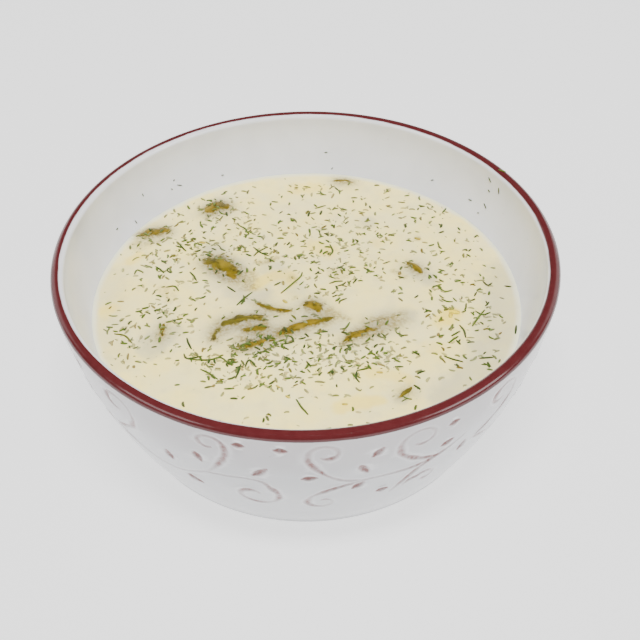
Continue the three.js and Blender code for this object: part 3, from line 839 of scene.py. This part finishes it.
def make_lettuce_material():
    """Wet cooked lettuce, olive to gold, under a thin film of soup where it dips."""
    material, tree, shader = new_material(
        "cooked_lettuce", Subsurface_Weight=0.15, Subsurface_Radius=(1, 0.8, 0.2),
        Subsurface_Scale=0.6 * MM, Specular_IOR_Level=0.25)
    grain = mottle(tree, 0.8, 3, 0.3, 0.7)
    fringe = times(tree, read_attribute(tree, "fringe"), 0.8)
    film = calculate(tree, "ADD", read_attribute(tree, "film"), fringe)
    edge = calculate(tree, "SUBTRACT", film, times(tree, grain, 0.35))
    colour = tint(
        tree, LEAF_GOLD,
        (mottle(tree, 4), LEAF_OLIVE),
        (mottle(tree, 16, 1, 0.45, 0.7), LEAF_GREEN),
        (mottle(tree, 1.6, 4, 0.42, 0.7), LEAF_DARK),
        (times(tree, read_attribute(tree, "vein"), 0.55), LEAF_VEIN),
        (step_between(tree, edge, 0.05, 0.8), soup_colour(tree)))
    set_shader(tree, shader, colour, vary(tree, grain, 0.28, 0.45))
    set_bump(tree, shader, mottle(tree, 1, 3, 0, 1), distance=0.12, strength=0.6)
    return material


def make_dill_material():
    """Chopped dill and bits, by each piece's tone: green from 0, brown at 1, yellow at 1.6."""
    material, tree, shader = new_material(
        "chopped_dill", Subsurface_Weight=0.1, Subsurface_Scale=0.5 * MM, Roughness=0.45)
    tone = read_attribute(tree, "tone")
    set_shader(tree, shader, tint(
        tree, DILL_DARK,
        (step_between(tree, tone, 0, 0.7), DILL_GREEN),
        (step_between(tree, tone, 0.82, 1), DILL_BROWN),
        (step_between(tree, tone, 1, 1.6), BIT_YELLOW),
        (times(tree, mottle(tree, 0.7), 0.4), DILL_SHADOW),
        (read_attribute(tree, "film"), soup_colour(tree))))
    set_bump(tree, shader, mottle(tree, 0.4, 2, 0, 1), distance=0.05, strength=0.6)
    return material


# ---- Bowl ----


def wall_radius(height):
    """Outer radius of the wall at a height."""
    share = (height - WALL_FOOT_HEIGHT) / (LIP_BASE - WALL_FOOT_HEIGHT)
    curve = 1 - np.maximum(0, 1 - share) ** WALL_CURVE
    spread = (1 - WALL_BULGE) * share + WALL_BULGE * curve
    return WALL_FOOT_RADIUS + (RIM_RADIUS - WALL_FOOT_RADIUS) * spread


def inner_radius(height):
    """Inner radius of the bowl at a height."""
    share = (height - FLOOR_HEIGHT) / (LIP_BASE - FLOOR_HEIGHT)
    curve = 1 - np.maximum(0, 1 - share) ** INNER_CURVE
    return FLOOR_RADIUS + (RIM_RADIUS - LIP_THICKNESS - FLOOR_RADIUS) * curve


def wall_swell(angle, height):
    """How far the hand-pressed wall stands out from a true round one."""
    low, high = UNEVEN_HEIGHTS
    broad = np.sin(3 * angle + 1.1) * np.sin(height / 9)
    slanting = 0.6 * np.sin(5 * angle - height / 13)
    window = ease(WALL_FOOT_HEIGHT, low, height) * ease(LIP_BASE, high, height)
    return WALL_UNEVENNESS * (broad + slanting) * window


def bowl_outline():
    """The section of the bowl as [radius, height], from the axis underneath to the one inside."""
    outline = [[0, FOOT_HEIGHT], [FOOT_RADIUS - FOOT_WIDTH - FOOT_CHAMFER, FOOT_HEIGHT]]
    inside, outside = FOOT_RADIUS - FOOT_WIDTH, FOOT_RADIUS
    outline += [[inside + across, height] for across, height in FOOT_INNER_EDGE]
    outline += [[outside + across, height] for across, height in FOOT_OUTER_EDGE]
    outline.append([outside, FOOT_HEIGHT])
    turn_height = WALL_FOOT_HEIGHT - FOOT_HEIGHT
    for angle in np.linspace(0, pi / 2, 6, endpoint=False):
        outline.append([WALL_FOOT_RADIUS - TURN_WIDTH * (1 - sin(angle)),
                        WALL_FOOT_HEIGHT - turn_height * cos(angle)])
    for height in np.linspace(WALL_FOOT_HEIGHT, LIP_BASE, 44, endpoint=False):
        outline.append([wall_radius(height), height])
    for angle in np.linspace(0, pi, 18, endpoint=False):
        outline.append([RIM_RADIUS - LIP_THICKNESS / 2 * (1 - cos(angle)),
                        LIP_BASE + LIP_ROUNDING * sin(angle)])
    for height in np.linspace(LIP_BASE, FLOOR_HEIGHT, 46):
        outline.append([inner_radius(height), height])
    outline.append([0, FLOOR_HEIGHT])
    return np.array(outline)


def build_bowl(glaze):
    """One point is dragged along the section, the line is spun, and the ornament is carved."""
    outline = bowl_outline() * MM
    deselect_everything()
    bpy.ops.mesh.primitive_plane_add(size=MM, location=(outline[0][0], 0, outline[0][1]))
    bowl = bpy.context.active_object
    bowl.name = "bowl_body"
    bpy.ops.object.transform_apply(location=True)
    bpy.ops.object.mode_set(mode="EDIT")
    bpy.ops.mesh.select_all(action="SELECT")
    bpy.ops.mesh.merge(type="CENTER")
    for across, rise in np.diff(outline, axis=0):
        bpy.ops.mesh.extrude_vertices_move(TRANSFORM_OT_translate={"value": (across, 0, rise)})
    bpy.ops.mesh.select_all(action="SELECT")
    bpy.ops.mesh.spin(steps=BOWL_SIDES, angle=2 * pi, center=(0, 0, 0), axis=(0, 0, 1))
    bpy.ops.mesh.select_all(action="SELECT")
    bpy.ops.mesh.remove_doubles(threshold=0.01 * MM)
    bpy.ops.mesh.normals_make_consistent(inside=False)
    bpy.ops.object.mode_set(mode="OBJECT")
    bpy.ops.object.shade_smooth()

    carve_bowl(bowl)
    bowl.data.materials.append(glaze)
    return bowl


# ---- Ornament ----


def vine_path(vine):
    """Evenly spaced places of a vine, as [along the wall, up it]."""
    points = [[degrees * DEGREE_LENGTH, height] for degrees, height in vine["stem"]]
    if "scroll" in vine:
        degrees, height, first, last, start, sweep = vine["scroll"]
        for share in np.linspace(0, 1, int(abs(sweep) / 20) + 1):
            angle = radians(start + sweep * share)
            radius = between((first, last), share)
            points.append([degrees * DEGREE_LENGTH + radius * cos(angle),
                           height + radius * sin(angle)])
    return spline(points, CARVING_STEP)


def bud_path(bud):
    degrees, height, length, heading = bud
    path = straight(length, radians(heading), round(length / CARVING_STEP))
    return path + [degrees * DEGREE_LENGTH, height]


def gathered_wash(path):
    """How much of the wash has gathered at each place of a line, from 0 to 1."""
    gathered = np.zeros(len(path))
    for degrees, height, radius in WASHED_PLACES:
        gap = np.hypot(path[:, 0] - degrees * DEGREE_LENGTH, path[:, 1] - height)
        gathered = np.maximum(gathered, np.exp(-(gap / (WASH_REACH * radius)) ** 2))
    return gathered


def carved_lines():
    """The lines of one repeat: places [along the wall, up it], half widths, depths and wash."""
    lines = []
    for number, vine in enumerate(VINES):
        path = vine_path(vine)
        travelled = np.arange(len(path)) * CARVING_STEP
        to_end = np.minimum(travelled, travelled[-1] - travelled)
        taper = np.sqrt(np.clip(to_end / VINE_TAPER, 0.02, 1))
        waver = noise_at(travelled / VINE_UNEVEN_LENGTH, 0 * travelled, number + 9.5)
        bold = gathered_wash(path)
        narrowing = between((VINE_END_WIDTH, 1), taper)
        width = between(VINE_WIDTHS, bold) * narrowing * (1 + VINE_UNEVENNESS * waver)
        depth = VINE_DEPTH * taper * between(VINE_DEPTHS, bold)
        lines.append((path, VINE_WIDTH / 2 * width, depth, between(VINE_WASHES, bold)))
    for bud in BUDS:
        path = bud_path(bud)
        share = np.linspace(0.02, 0.98, len(path))
        swelling = np.sin(pi * share ** BUD_FULLNESS) ** BUD_FULLNESS
        half = BUD_WIDTH / 2 * between((BUD_END_WIDTH, 1), swelling)
        lines.append((path, half, BUD_DEPTH * swelling, np.full(len(path), BUD_WASH)))
    return lines


def near_lines(along, height):
    """For each line and repeat, the places on the wall that lie near it, with their gaps to it
    and to its pooled wash, and its half width, depth and wash at the nearest point."""
    round_wall = 360 * DEGREE_LENGTH
    for path, half, depth, wash in carved_lines():
        low, high = path.min(axis=0) - CARVING_REACH, path.max(axis=0) + CARVING_REACH
        for repeat in range(VINE_REPEATS):
            turn = round_wall * repeat / VINE_REPEATS
            local = (along - turn + round_wall / 2) % round_wall - round_wall / 2
            inside = (local > low[0]) & (local < high[0]) & (height > low[1]) & (height < high[1])
            chosen = np.flatnonzero(inside)
            here = np.column_stack([local[chosen], height[chosen]])
            gaps = np.linalg.norm(here[:, None] - path, axis=2)
            pooled = np.linalg.norm(here[:, None] - WASH_POOL - path, axis=2)
            nearest = gaps.argmin(axis=1)
            yield (chosen, gaps.min(axis=1), pooled.min(axis=1),
                   half[nearest], depth[nearest], wash[nearest])


def on_the_wall(places):
    """Which places lie on the outer wall, and where on it: along and up."""
    reach = np.hypot(places[:, 0], places[:, 1])
    along = np.degrees(np.arctan2(places[:, 0], -places[:, 1])) * DEGREE_LENGTH
    height = places[:, 2]
    outside = np.abs(reach - wall_radius(height)) < WALL_TOLERANCE
    return outside & (height > WALL_FOOT_HEIGHT), along, height


def divide_beside_lines(bowl):
    """The wall's faces are cut finely wherever a line of the ornament is near."""
    places = vertex_places(bowl)
    centres = np.array([places[list(face.vertices)].mean(axis=0) for face in bowl.data.polygons])
    outside, along, height = on_the_wall(centres)
    beside = np.zeros(len(centres), bool)
    for chosen, gap, *_ in near_lines(along, height):
        beside[chosen[gap < CARVING_REACH]] = True
    bpy.ops.object.mode_set(mode="EDIT")
    bpy.ops.mesh.select_mode(type="FACE")
    bpy.ops.mesh.select_all(action="DESELECT")
    bpy.ops.object.mode_set(mode="OBJECT")
    bowl.data.polygons.foreach_set("select", beside & outside)
    bpy.ops.object.mode_set(mode="EDIT")
    bpy.ops.mesh.subdivide(number_cuts=CARVING_CUTS)
    bpy.ops.object.mode_set(mode="OBJECT")


def carve_bowl(bowl):
    """The lines are sunk into the wall, with a lip beside each, and marked for their wash and for a
    painted highlight on the lips.
    """
    divide_beside_lines(bowl)
    places = vertex_places(bowl)
    outside, along, height = on_the_wall(places)
    sunk, lip, wash = np.zeros((3, len(places)))
    for chosen, gap, pooled, half, depth, strength in near_lines(along, height):
        across = gap / half
        groove = depth * (1 + np.cos(pi * np.minimum(across, 1))) / 2
        swelling = depth / VINE_DEPTH * np.exp(-((across - LIP_PLACE) / LIP_WIDTH) ** 2)
        washed = strength * ease(*WASH_SPREAD, pooled / half)
        sunk[chosen] = np.maximum(sunk[chosen], groove)
        lip[chosen] = np.maximum(lip[chosen], swelling)
        wash[chosen] = np.maximum(wash[chosen], washed)
    lift = LIP_HEIGHT * lip - sunk
    slope = wall_radius(height + 0.5) - wall_radius(height - 0.5)
    steepness = np.hypot(slope, 1)
    angle = np.arctan2(places[:, 0], -places[:, 1])
    radius = wall_radius(height) + wall_swell(angle, height) + lift / steepness
    moved = np.column_stack([radius * np.sin(angle), -radius * np.cos(angle),
                             height - lift * slope / steepness])
    move_vertices(bowl, np.where(outside[:, None], moved, places))
    write_attribute(bowl, "wash", wash * outside)
    # the lip mask paints a highlight on the glaze
    write_attribute(bowl, "lip", np.clip(lip, 0, 1) * outside)


# ---- Maps of the soup's surface ----
# A map is a square of values, one to each cell, over the whole of the soup.

MAP_CELL = 0.5
MAP_REACH = 72
MAP_AXIS = np.arange(-MAP_REACH, MAP_REACH + MAP_CELL, MAP_CELL)
MAP_X, MAP_Y = np.meshgrid(MAP_AXIS, MAP_AXIS, indexing="ij")


def read_map(field, x, y):
    """The map's value at each place, blended from the four nearest cells."""
    across = np.clip((x + MAP_REACH) / MAP_CELL, 0, len(MAP_AXIS) - 1.001)
    along = np.clip((y + MAP_REACH) / MAP_CELL, 0, len(MAP_AXIS) - 1.001)
    i, j = across.astype(int), along.astype(int)
    u, v = across - i, along - j
    near = field[i, j] * (1 - v) + field[i, j + 1] * v
    far = field[i + 1, j] * (1 - v) + field[i + 1, j + 1] * v
    return near * (1 - u) + far * u


def blurred(field, radius):
    reach = int(3 * radius / MAP_CELL)
    weights = np.exp(-0.5 * (np.arange(-reach, reach + 1) * MAP_CELL / radius) ** 2)
    weights /= weights.sum()
    for axis in (0, 1):
        field = np.apply_along_axis(np.convolve, axis, field, weights, mode="same")
    return field


def noise_map(size, seed):
    return noise_at(MAP_X / size, MAP_Y / size, seed).reshape(MAP_X.shape)


def soup_level(x, y):
    """The calm surface, with its long waves and its rise at the wall."""
    crossed = np.sin(x / WAVE_ACROSS) * np.cos(y / WAVE_ALONG)
    wave = crossed + 0.5 * np.sin((x + 2 * y) / WAVE_SLANTING)
    rise = SOUP_RISE * np.exp(-(SOUP_RADIUS - np.hypot(x, y)) / SOUP_RISE_WIDTH)
    return SOUP_LEVEL + SOUP_WAVE * wave + rise


def leaf_top_map(leaves):
    """Height of the highest leaf over each cell, or far below where there is none."""
    tops = np.full(MAP_X.shape, -100.0)
    for leaf in leaves:
        places = vertex_places(leaf)
        i = np.round((places[:, 0] + MAP_REACH) / MAP_CELL).astype(int)
        j = np.round((places[:, 1] + MAP_REACH) / MAP_CELL).astype(int)
        np.maximum.at(tops, (i, j), places[:, 2])
    return tops


def blot_map(blots, ragged, seed):
    """Soft-edged blots, each a row of circles that run together."""
    field = np.zeros(MAP_X.shape)
    coarse, fine = BLOT_RAGGED_LENGTHS
    wander = ragged * (noise_map(coarse, seed) + 0.5 * noise_map(fine, seed + 3))
    for circles, strength in blots:
        row = spline(circles, 1) if len(circles) > 1 else np.array(circles, float)
        inside = np.full(MAP_X.shape, -100.0)
        for x, y, radius in row:
            inside = np.maximum(inside, 1 - np.hypot(MAP_X - x, MAP_Y - y) / radius)
        field = np.maximum(field, strength * ease(*BLOT_EDGE, inside + wander))
    return field


# ---- Lettuce ----


def build_leaf(name, width, spine, number, lettuce):
    """A grid is laid along the leaf's spine, torn at its edges, and given its thickness."""
    path = spline(spine, LEAF_CELL)
    last = len(path) - 1
    rows = max(4, round(width / LEAF_CELL))
    deselect_everything()
    bpy.ops.mesh.primitive_grid_add(x_subdivisions=last, y_subdivisions=rows, size=2)
    piece = bpy.context.active_object
    piece.name = "leaf_" + name.removeprefix("lettuce_")
    grid = vertex_places(piece) * MM
    station = np.round((grid[:, 0] + 1) / 2 * last).astype(int)
    across = grid[:, 1]
    travelled = station * LEAF_CELL
    share = station / last

    flat = path * [1, 1, 0]
    along = directions(flat)[station]
    aside = np.column_stack([-along[:, 1], along[:, 0], 0 * across])
    side = np.sign(across)
    tear = LEAF_TEAR * noise_at(travelled / LEAF_TEAR_LENGTH, side, number + 0.3)
    tear += LEAF_NICK * noise_at(travelled / LEAF_NICK_LENGTH, side, number + 0.7)
    narrowing = LEAF_END + (1 - LEAF_END) * np.sin(pi * share)
    half = width / 2 * (narrowing + tear)
    end_tear = noise_at(across * width / 3, 0 * across + number, 4.2)
    pull = LEAF_END_TEAR * end_tear * (2 * share - 1) ** 9

    places = flat[station] + aside * (across * half)[:, None] + along * pull[:, None]
    wave = np.sin(2 * pi * travelled / LEAF_RIPPLE_LENGTH + 2 * across)
    x, y = places[:, 0], places[:, 1]
    crinkle = noise_at(x / LEAF_CRINKLE_LENGTH, y / LEAF_CRINKLE_LENGTH, number + 0.1)
    places[:, 2] = SOUP_LEVEL + path[station, 2] + LEAF_RIPPLE * wave * np.abs(across)
    places[:, 2] += LEAF_CRINKLE * crinkle - LEAF_DROOP * across**2
    move_vertices(piece, places)
    streak = noise_at(2.2 * across + 0.15 * travelled, travelled / VEIN_LENGTH, number + 0.9)
    write_attribute(piece, "vein", ease(*VEIN_RANGE, streak))
    ragged = FRINGE_RAGGEDNESS * noise_at(x / FRINGE_LENGTH, y / FRINGE_LENGTH, number + 0.6)
    outward = np.maximum(np.abs(across), np.abs(2 * share - 1) ** 4)
    write_attribute(piece, "fringe", ease(*FRINGE_RANGE, outward + ragged))
    apply_modifier(piece, "SOLIDIFY", thickness=LEAF_THICKNESS * MM, offset=0)
    apply_modifier(piece, "SUBSURF", levels=1, render_levels=1)
    bpy.ops.object.shade_smooth()
    piece.data.materials.append(lettuce)
    return piece


def cover_leaf(leaf, surface):
    """How much of a film of soup lies on each point of a leaf."""
    x, y, height = vertex_places(leaf).T
    patchy = FILM_PATCHES * noise_at(x / FILM_PATCH_LENGTH, y / FILM_PATCH_LENGTH, 3.5)
    write_attribute(leaf, "film", ease(*FILM_RANGE, height - read_map(surface, x, y) + patchy))


# ---- Soup ----


def rest_leaves_in_soup(leaves):
    """Films the leaves. Gives maps of the soup's surface, of what the dill lies on, and of how
    plainly a leaf shows."""
    tops = leaf_top_map(leaves)
    surface = soup_level(MAP_X, MAP_Y)
    inward = ease(SOUP_RADIUS, SOUP_RADIUS - LUMPS_END, np.hypot(MAP_X, MAP_Y))
    small_lumps = SMALL_LUMP_SHARE * noise_map(SMALL_LUMP_LENGTH, 6.5)
    surface += LUMP_HEIGHT * inward * (noise_map(LUMP_LENGTH, 1.5) + small_lumps)
    depth = np.maximum(0, surface - tops)
    under = np.exp(-depth / LEAF_SHOW_DEPTH) * (tops > 0)
    for leaf in leaves:
        cover_leaf(leaf, surface)
    surface += CLIMB * blurred(np.maximum(0, tops - surface), CLIMB_REACH)
    return surface, np.maximum(surface, tops), under


def soup_stains(under):
    """Maps of what tints the soup: sunk lettuce, yellow, painted shade, and a milky edge."""
    halo = sum(factor * blurred(under, radius) for factor, radius in zip(HALO_FACTORS, HALO_RADII))
    # painted shade about the sunk leaves
    gloom = np.clip(GLOOM_FACTOR * blurred(under, GLOOM_RADIUS), 0, GLOOM_MOST)
    to_rim = SOUP_RADIUS - np.hypot(MAP_X, MAP_Y) - 0.5 * noise_map(5, 8.5)
    return {
        "olive": np.maximum(HALO_STRENGTH * np.clip(halo, 0, 1), blot_map(OLIVE_BLOTS, 0.35, 11.5)),
        "straw": blot_map(STRAW_BLOTS, 0.4, 21.5),
        "shade": np.maximum(gloom, blot_map(SHADE_BLOTS, 0.2, 31.5)),
        "thin": ease(*MILKY_EDGE, to_rim),
    }


def disc_places(grid):
    """Square grid places from -1 to 1 drawn out to a round disc of radius 1."""
    a, b = grid[:, 0], grid[:, 1]
    wide = np.abs(a) > np.abs(b)
    reach = np.where(wide, a, b)
    ratio = np.where(wide, b / np.where(wide, a, 1), a / np.where(wide | (b == 0), 1, b))
    turn = pi / 4 * ratio
    x = np.where(wide, np.cos(turn), np.sin(turn)) * reach
    y = np.where(wide, np.sin(turn), np.cos(turn)) * reach
    return x, y


def build_soup(soup_material, surface):
    """A round grid takes the surface's form, and its rim is drawn down inside the bowl."""
    deselect_everything()
    bpy.ops.mesh.primitive_grid_add(x_subdivisions=SOUP_CELLS, y_subdivisions=SOUP_CELLS, size=2)
    soup = bpy.context.active_object
    soup.name = "soup_body"
    x, y = disc_places(vertex_places(soup) * MM)
    x, y = x * SOUP_RADIUS, y * SOUP_RADIUS
    on_rim = np.hypot(x, y) > SOUP_RADIUS - 0.01
    height = np.where(on_rim, SOUP_LEVEL + SOUP_RISE, read_map(surface, x, y))
    move_vertices(soup, np.column_stack([x, y, height]))

    bpy.ops.object.mode_set(mode="EDIT")
    bpy.ops.mesh.select_mode(type="VERT")
    bpy.ops.mesh.select_all(action="DESELECT")
    bpy.ops.mesh.select_non_manifold()
    radius, level = SOUP_RADIUS, SOUP_LEVEL + SOUP_RISE
    lowest = FLOOR_HEIGHT + SOUP_FLOOR_GAP
    for height in np.linspace(SOUP_LEVEL - SOUP_FIRST_RING, lowest, SOUP_SIDE_RINGS):
        wider = inner_radius(height) - SOUP_SIDE_GAP
        bpy.ops.mesh.extrude_edges_move(
            TRANSFORM_OT_translate={"value": (0, 0, (height - level) * MM)})
        bpy.ops.transform.resize(value=(wider / radius, wider / radius, 1),
                                 center_override=(0, 0, 0))
        radius, level = wider, height
    bpy.ops.mesh.extrude_edges_move(TRANSFORM_OT_translate={"value": (0, 0, 0)})
    bpy.ops.mesh.merge(type="CENTER")
    bpy.ops.mesh.select_all(action="SELECT")
    bpy.ops.mesh.normals_make_consistent(inside=False)
    bpy.ops.object.mode_set(mode="OBJECT")
    bpy.ops.object.shade_smooth()
    soup.data.materials.append(soup_material)
    return soup


# ---- Dill ----


def pick_patch(number, patches):
    """The patch that a number from 0 to 1 falls in, by the patches' shares."""
    reached = 0
    for patch in patches:
        reached += patch[-1]
        if number < reached:
            return patch
    return patches[-1]


def pick_place(random, patches, spread=1.0):
    """A place in one of the patches, or up to spread times as far out from its middle."""
    x, y, half_width, half_height, _ = pick_patch(next(random), patches)
    angle, reach = 2 * pi * next(random), spread * sqrt(next(random))
    return x + half_width * reach * cos(angle), y + half_height * reach * sin(angle)


def draw_flakes(random, patches, total, kept):
    """The flakes as x, y, heading and length, longest first, with four draws to each."""
    flakes = []
    for i in range(kept):
        x, y = pick_place(random, patches)
        length = between(FLAKE_LENGTHS, exp(-FLAKE_FALL * i / total))
        flakes.append((x, y, pi * next(random), length))
    return flakes


def blade(path, width):
    """A thin leaflet along a path, pointed at both ends."""
    along = directions(path)
    aside = np.column_stack([-along[:, 1], along[:, 0], 0 * along[:, 0]])
    aside /= np.maximum(np.linalg.norm(aside, axis=1), 1e-6)[:, None]
    above = np.cross(along, aside) * BLADE_THICKNESS
    share = np.linspace(BLADE_TIP, 1 - BLADE_TIP, len(path))
    half = (width / 2 * np.sin(pi * share) ** BLADE_FULLNESS)[:, None]
    points = np.stack([path + half * corner for corner in (aside, above, -aside, -above)], axis=1)
    return points.reshape(-1, 3), tube_faces(len(path), 4)


def lay_on(surface, flat, lift):
    """Gives a flat path its height, a little over what lies there."""
    height = read_map(surface, flat[:, 0], flat[:, 1])
    return np.column_stack([flat, height + lift])


def add_blade(heap, path, width, tone, film=0.0):
    """Adds a leaflet to the heap, with its tone and the share of soup that films it."""
    points, faces = blade(path, width)
    heap["shapes"].append((points, faces))
    heap["tone"].extend([tone] * len(points))
    heap["film"].extend([film] * len(points))


def add_flakes(heap, random, flakes, surface):
    """The strewn flakes: slightly bent, some sunk a little, and a few of them forked."""
    reach = np.linspace(-0.5, 0.5, 5)
    for x, y, heading, length in flakes:
        bend, width, tone, sink, fork = [next(random) for _ in range(5)]
        if hypot(x, y) > FLAKE_LIMIT:
            continue
        length = max(length, between(FLAKE_LEAST_LENGTHS, width))
        turn = heading + 2 * FLAKE_BEND * (bend - 0.5) * reach
        middle = length * np.cumsum(np.column_stack([np.cos(turn), np.sin(turn)]), axis=0) / 5
        flat = middle - middle[2] + [x, y]
        tip = (2 * reach) ** 2
        lift = FLAKE_LIFT - FLAKE_TIP_SINKING * sink * tip - FLAKE_SINKING * sink
        size = between(FLAKE_WIDTHS, width)
        film = FLAKE_FILM * max(0, sink - FLAKE_BARE_SHARE)
        add_blade(heap, lay_on(surface, flat, lift), size, tone, film)
        if fork < FORK_SHARE:
            out = heading + (FORK_ANGLE if fork < FORK_SHARE / 2 else -FORK_ANGLE)
            arm = np.linspace(0, FORK_LENGTH * length, 4)[:, None] * [cos(out), sin(out)]
            path = lay_on(surface, flat[2] + arm, FORK_LIFT)
            add_blade(heap, path, FORK_WIDTH * size, tone, film)


def add_sprigs_and_bits(heap, random, surface):
    for points, tone in SPRIGS:
        flat = spline(points, SPRIG_STEP)
        add_blade(heap, lay_on(surface, flat, SPRIG_LIFT), SPRIG_WIDTH, tone)
    for x, y, length, width, tone in BITS:
        flat = straight(length, pi * next(random), 5) + [x, y]
        add_blade(heap, lay_on(surface, flat, BIT_LIFT), width, tone, BIT_FILM)


def add_crumbs(heap, random, surface):
    """The finest crumbs of dill over the soup."""
    for _ in range(CRUMB_COUNT):
        x, y = pick_place(random, STREWN_PATCHES, CRUMB_SPREAD)
        heading = pi * next(random)
        size, tone, sink = next(random), next(random), next(random)
        if hypot(x, y) > FLAKE_LIMIT:
            continue
        flat = straight(between(CRUMB_LENGTHS, size), heading, 3) + [x, y]
        add_blade(heap, lay_on(surface, flat, CRUMB_LIFT), CRUMB_WIDTH, tone, CRUMB_FILM * sink)


def add_dill_on_bowl(heap, random):
    """The dill that stuck to the inner wall, and one piece on the lip."""
    for degrees, height, length in WALL_CRUMBS:
        heading = 2 * pi * next(random)
        reach = np.linspace(-0.5, 0.5, 4) * length
        rise = height + reach * sin(heading)
        turn = radians(degrees) + reach * cos(heading) / inner_radius(rise)
        radius = inner_radius(rise) - WALL_CRUMB_LIFT
        path = np.column_stack([radius * np.sin(turn), -radius * np.cos(turn), rise])
        add_blade(heap, path, WALL_CRUMB_WIDTH, WALL_CRUMB_TONE)
    lip_top = np.full(len(RIM_CRUMB), BOWL_HEIGHT + RIM_CRUMB_LIFT)
    add_blade(heap, np.column_stack([RIM_CRUMB, lip_top]), RIM_CRUMB_WIDTH, RIM_CRUMB_TONE)


def write_stains(piece, stains):
    """Marks on each point what lies under the soup there."""
    places = vertex_places(piece)
    on_top = places[:, 2] > SOUP_LEVEL - STAIN_DEPTH
    for name, field in stains.items():
        write_attribute(piece, name, read_map(field, places[:, 0], places[:, 1]) * on_top)


def build_dill(dill_material, surface):
    random = seeded_random(FLAKE_SEED)
    flakes = draw_flakes(random, DILL_PATCHES, FLAKE_TOTAL, FLAKE_COUNT)
    flakes += draw_flakes(random, STREWN_PATCHES, STREWN_TOTAL, STREWN_TOTAL)
    heap = {"shapes": [], "tone": [], "film": []}
    add_flakes(heap, random, flakes, surface)
    add_sprigs_and_bits(heap, random, surface)
    add_crumbs(heap, random, surface)
    add_dill_on_bowl(heap, random)
    dill = join_arrays("chopped_dill", heap["shapes"], dill_material)
    for name in ("tone", "film"):
        write_attribute(dill, name, heap[name])
    return dill


# ---- Stage ----


def build_floor():
    bpy.ops.mesh.primitive_plane_add(size=FLOOR_SIZE)
    floor = bpy.context.active_object
    floor.name = "floor"
    material, _, _ = new_material(
        "pale_floor", Base_Color=FLOOR_GREY, Roughness=0.9,
        Emission_Color=WHITE, Emission_Strength=FLOOR_GLOW)
    floor.data.materials.append(material)
    return floor


def add_lamp(name, place, size, power, mirrored):
    light = bpy.data.lights.new(name, "AREA")
    light.shape = "RECTANGLE"
    light.size, light.size_y = size
    light.energy = power
    lamp = bpy.data.objects.new(name, light)
    lamp.visible_glossy = mirrored
    lamp.location = place
    lamp.rotation_mode = "QUATERNION"
    lamp.rotation_quaternion = (Vector(LIT_PLACE) - Vector(place)).to_track_quat("-Z", "Y")
    bpy.context.scene.collection.objects.link(lamp)


def light_the_stage():
    for name, (place, size, power, mirrored) in LAMPS.items():
        add_lamp(name, place, size, power, mirrored)
    world = bpy.data.worlds.new("studio")
    world.use_nodes = True
    sky = world.node_tree.nodes["Background"]
    sky.inputs["Color"].default_value = WHITE
    sky.inputs["Strength"].default_value = SKY_GLOW
    bpy.context.scene.world = world


def place_camera():
    """The camera looks at the middle of the rim, turned a little to the photograph's framing."""
    elevation = radians(CAMERA_ELEVATION)
    back = Vector((0, -cos(elevation), sin(elevation)))
    towards_rim = Matrix(((1, 0, 0), (0, sin(elevation), -cos(elevation)),
                          (0, cos(elevation), sin(elevation))))
    yaw = Matrix.Rotation(-radians(CAMERA_YAW), 3, "Y")
    pitch = Matrix.Rotation(radians(CAMERA_PITCH), 3, "X")
    roll = Matrix.Rotation(radians(CAMERA_ROLL), 3, "Z")
    place = (Vector((0, 0, BOWL_HEIGHT)) + back * CAMERA_DISTANCE) * MM

    data = bpy.data.cameras.new("camera")
    data.lens = CAMERA_LENS
    data.clip_start = 0.01
    camera = bpy.data.objects.new("camera", data)
    turned = towards_rim @ yaw @ pitch @ roll
    camera.matrix_world = Matrix.Translation(place) @ turned.to_4x4()
    bpy.context.scene.collection.objects.link(camera)
    bpy.context.scene.camera = camera


# ---- Everything together ----


def finish_piece(piece, slot, *nodes):
    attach(piece, "root")
    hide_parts(*nodes)


def main():
    finish_piece(build_bowl(make_glaze()), "glaze", "bowl")

    lettuce = make_lettuce_material()
    leaves = {name: build_leaf(name, width, spine, number, lettuce)
              for number, (name, (width, spine)) in enumerate(LEAVES.items())}
    surface, laid_on, under = rest_leaves_in_soup(leaves.values())
    stains = soup_stains(under)
    soup = build_soup(make_soup_material(), surface)
    dill = build_dill(make_dill_material(), laid_on)
    for piece in (soup, dill, *leaves.values()):
        write_stains(piece, stains)

    finish_piece(soup, "soup", "soup")
    for name, leaf in leaves.items():
        finish_piece(leaf, "lettuce", name)
    finish_piece(dill, "lettuce", "soup")

    build_floor()
    light_the_stage()
    place_camera()


main()
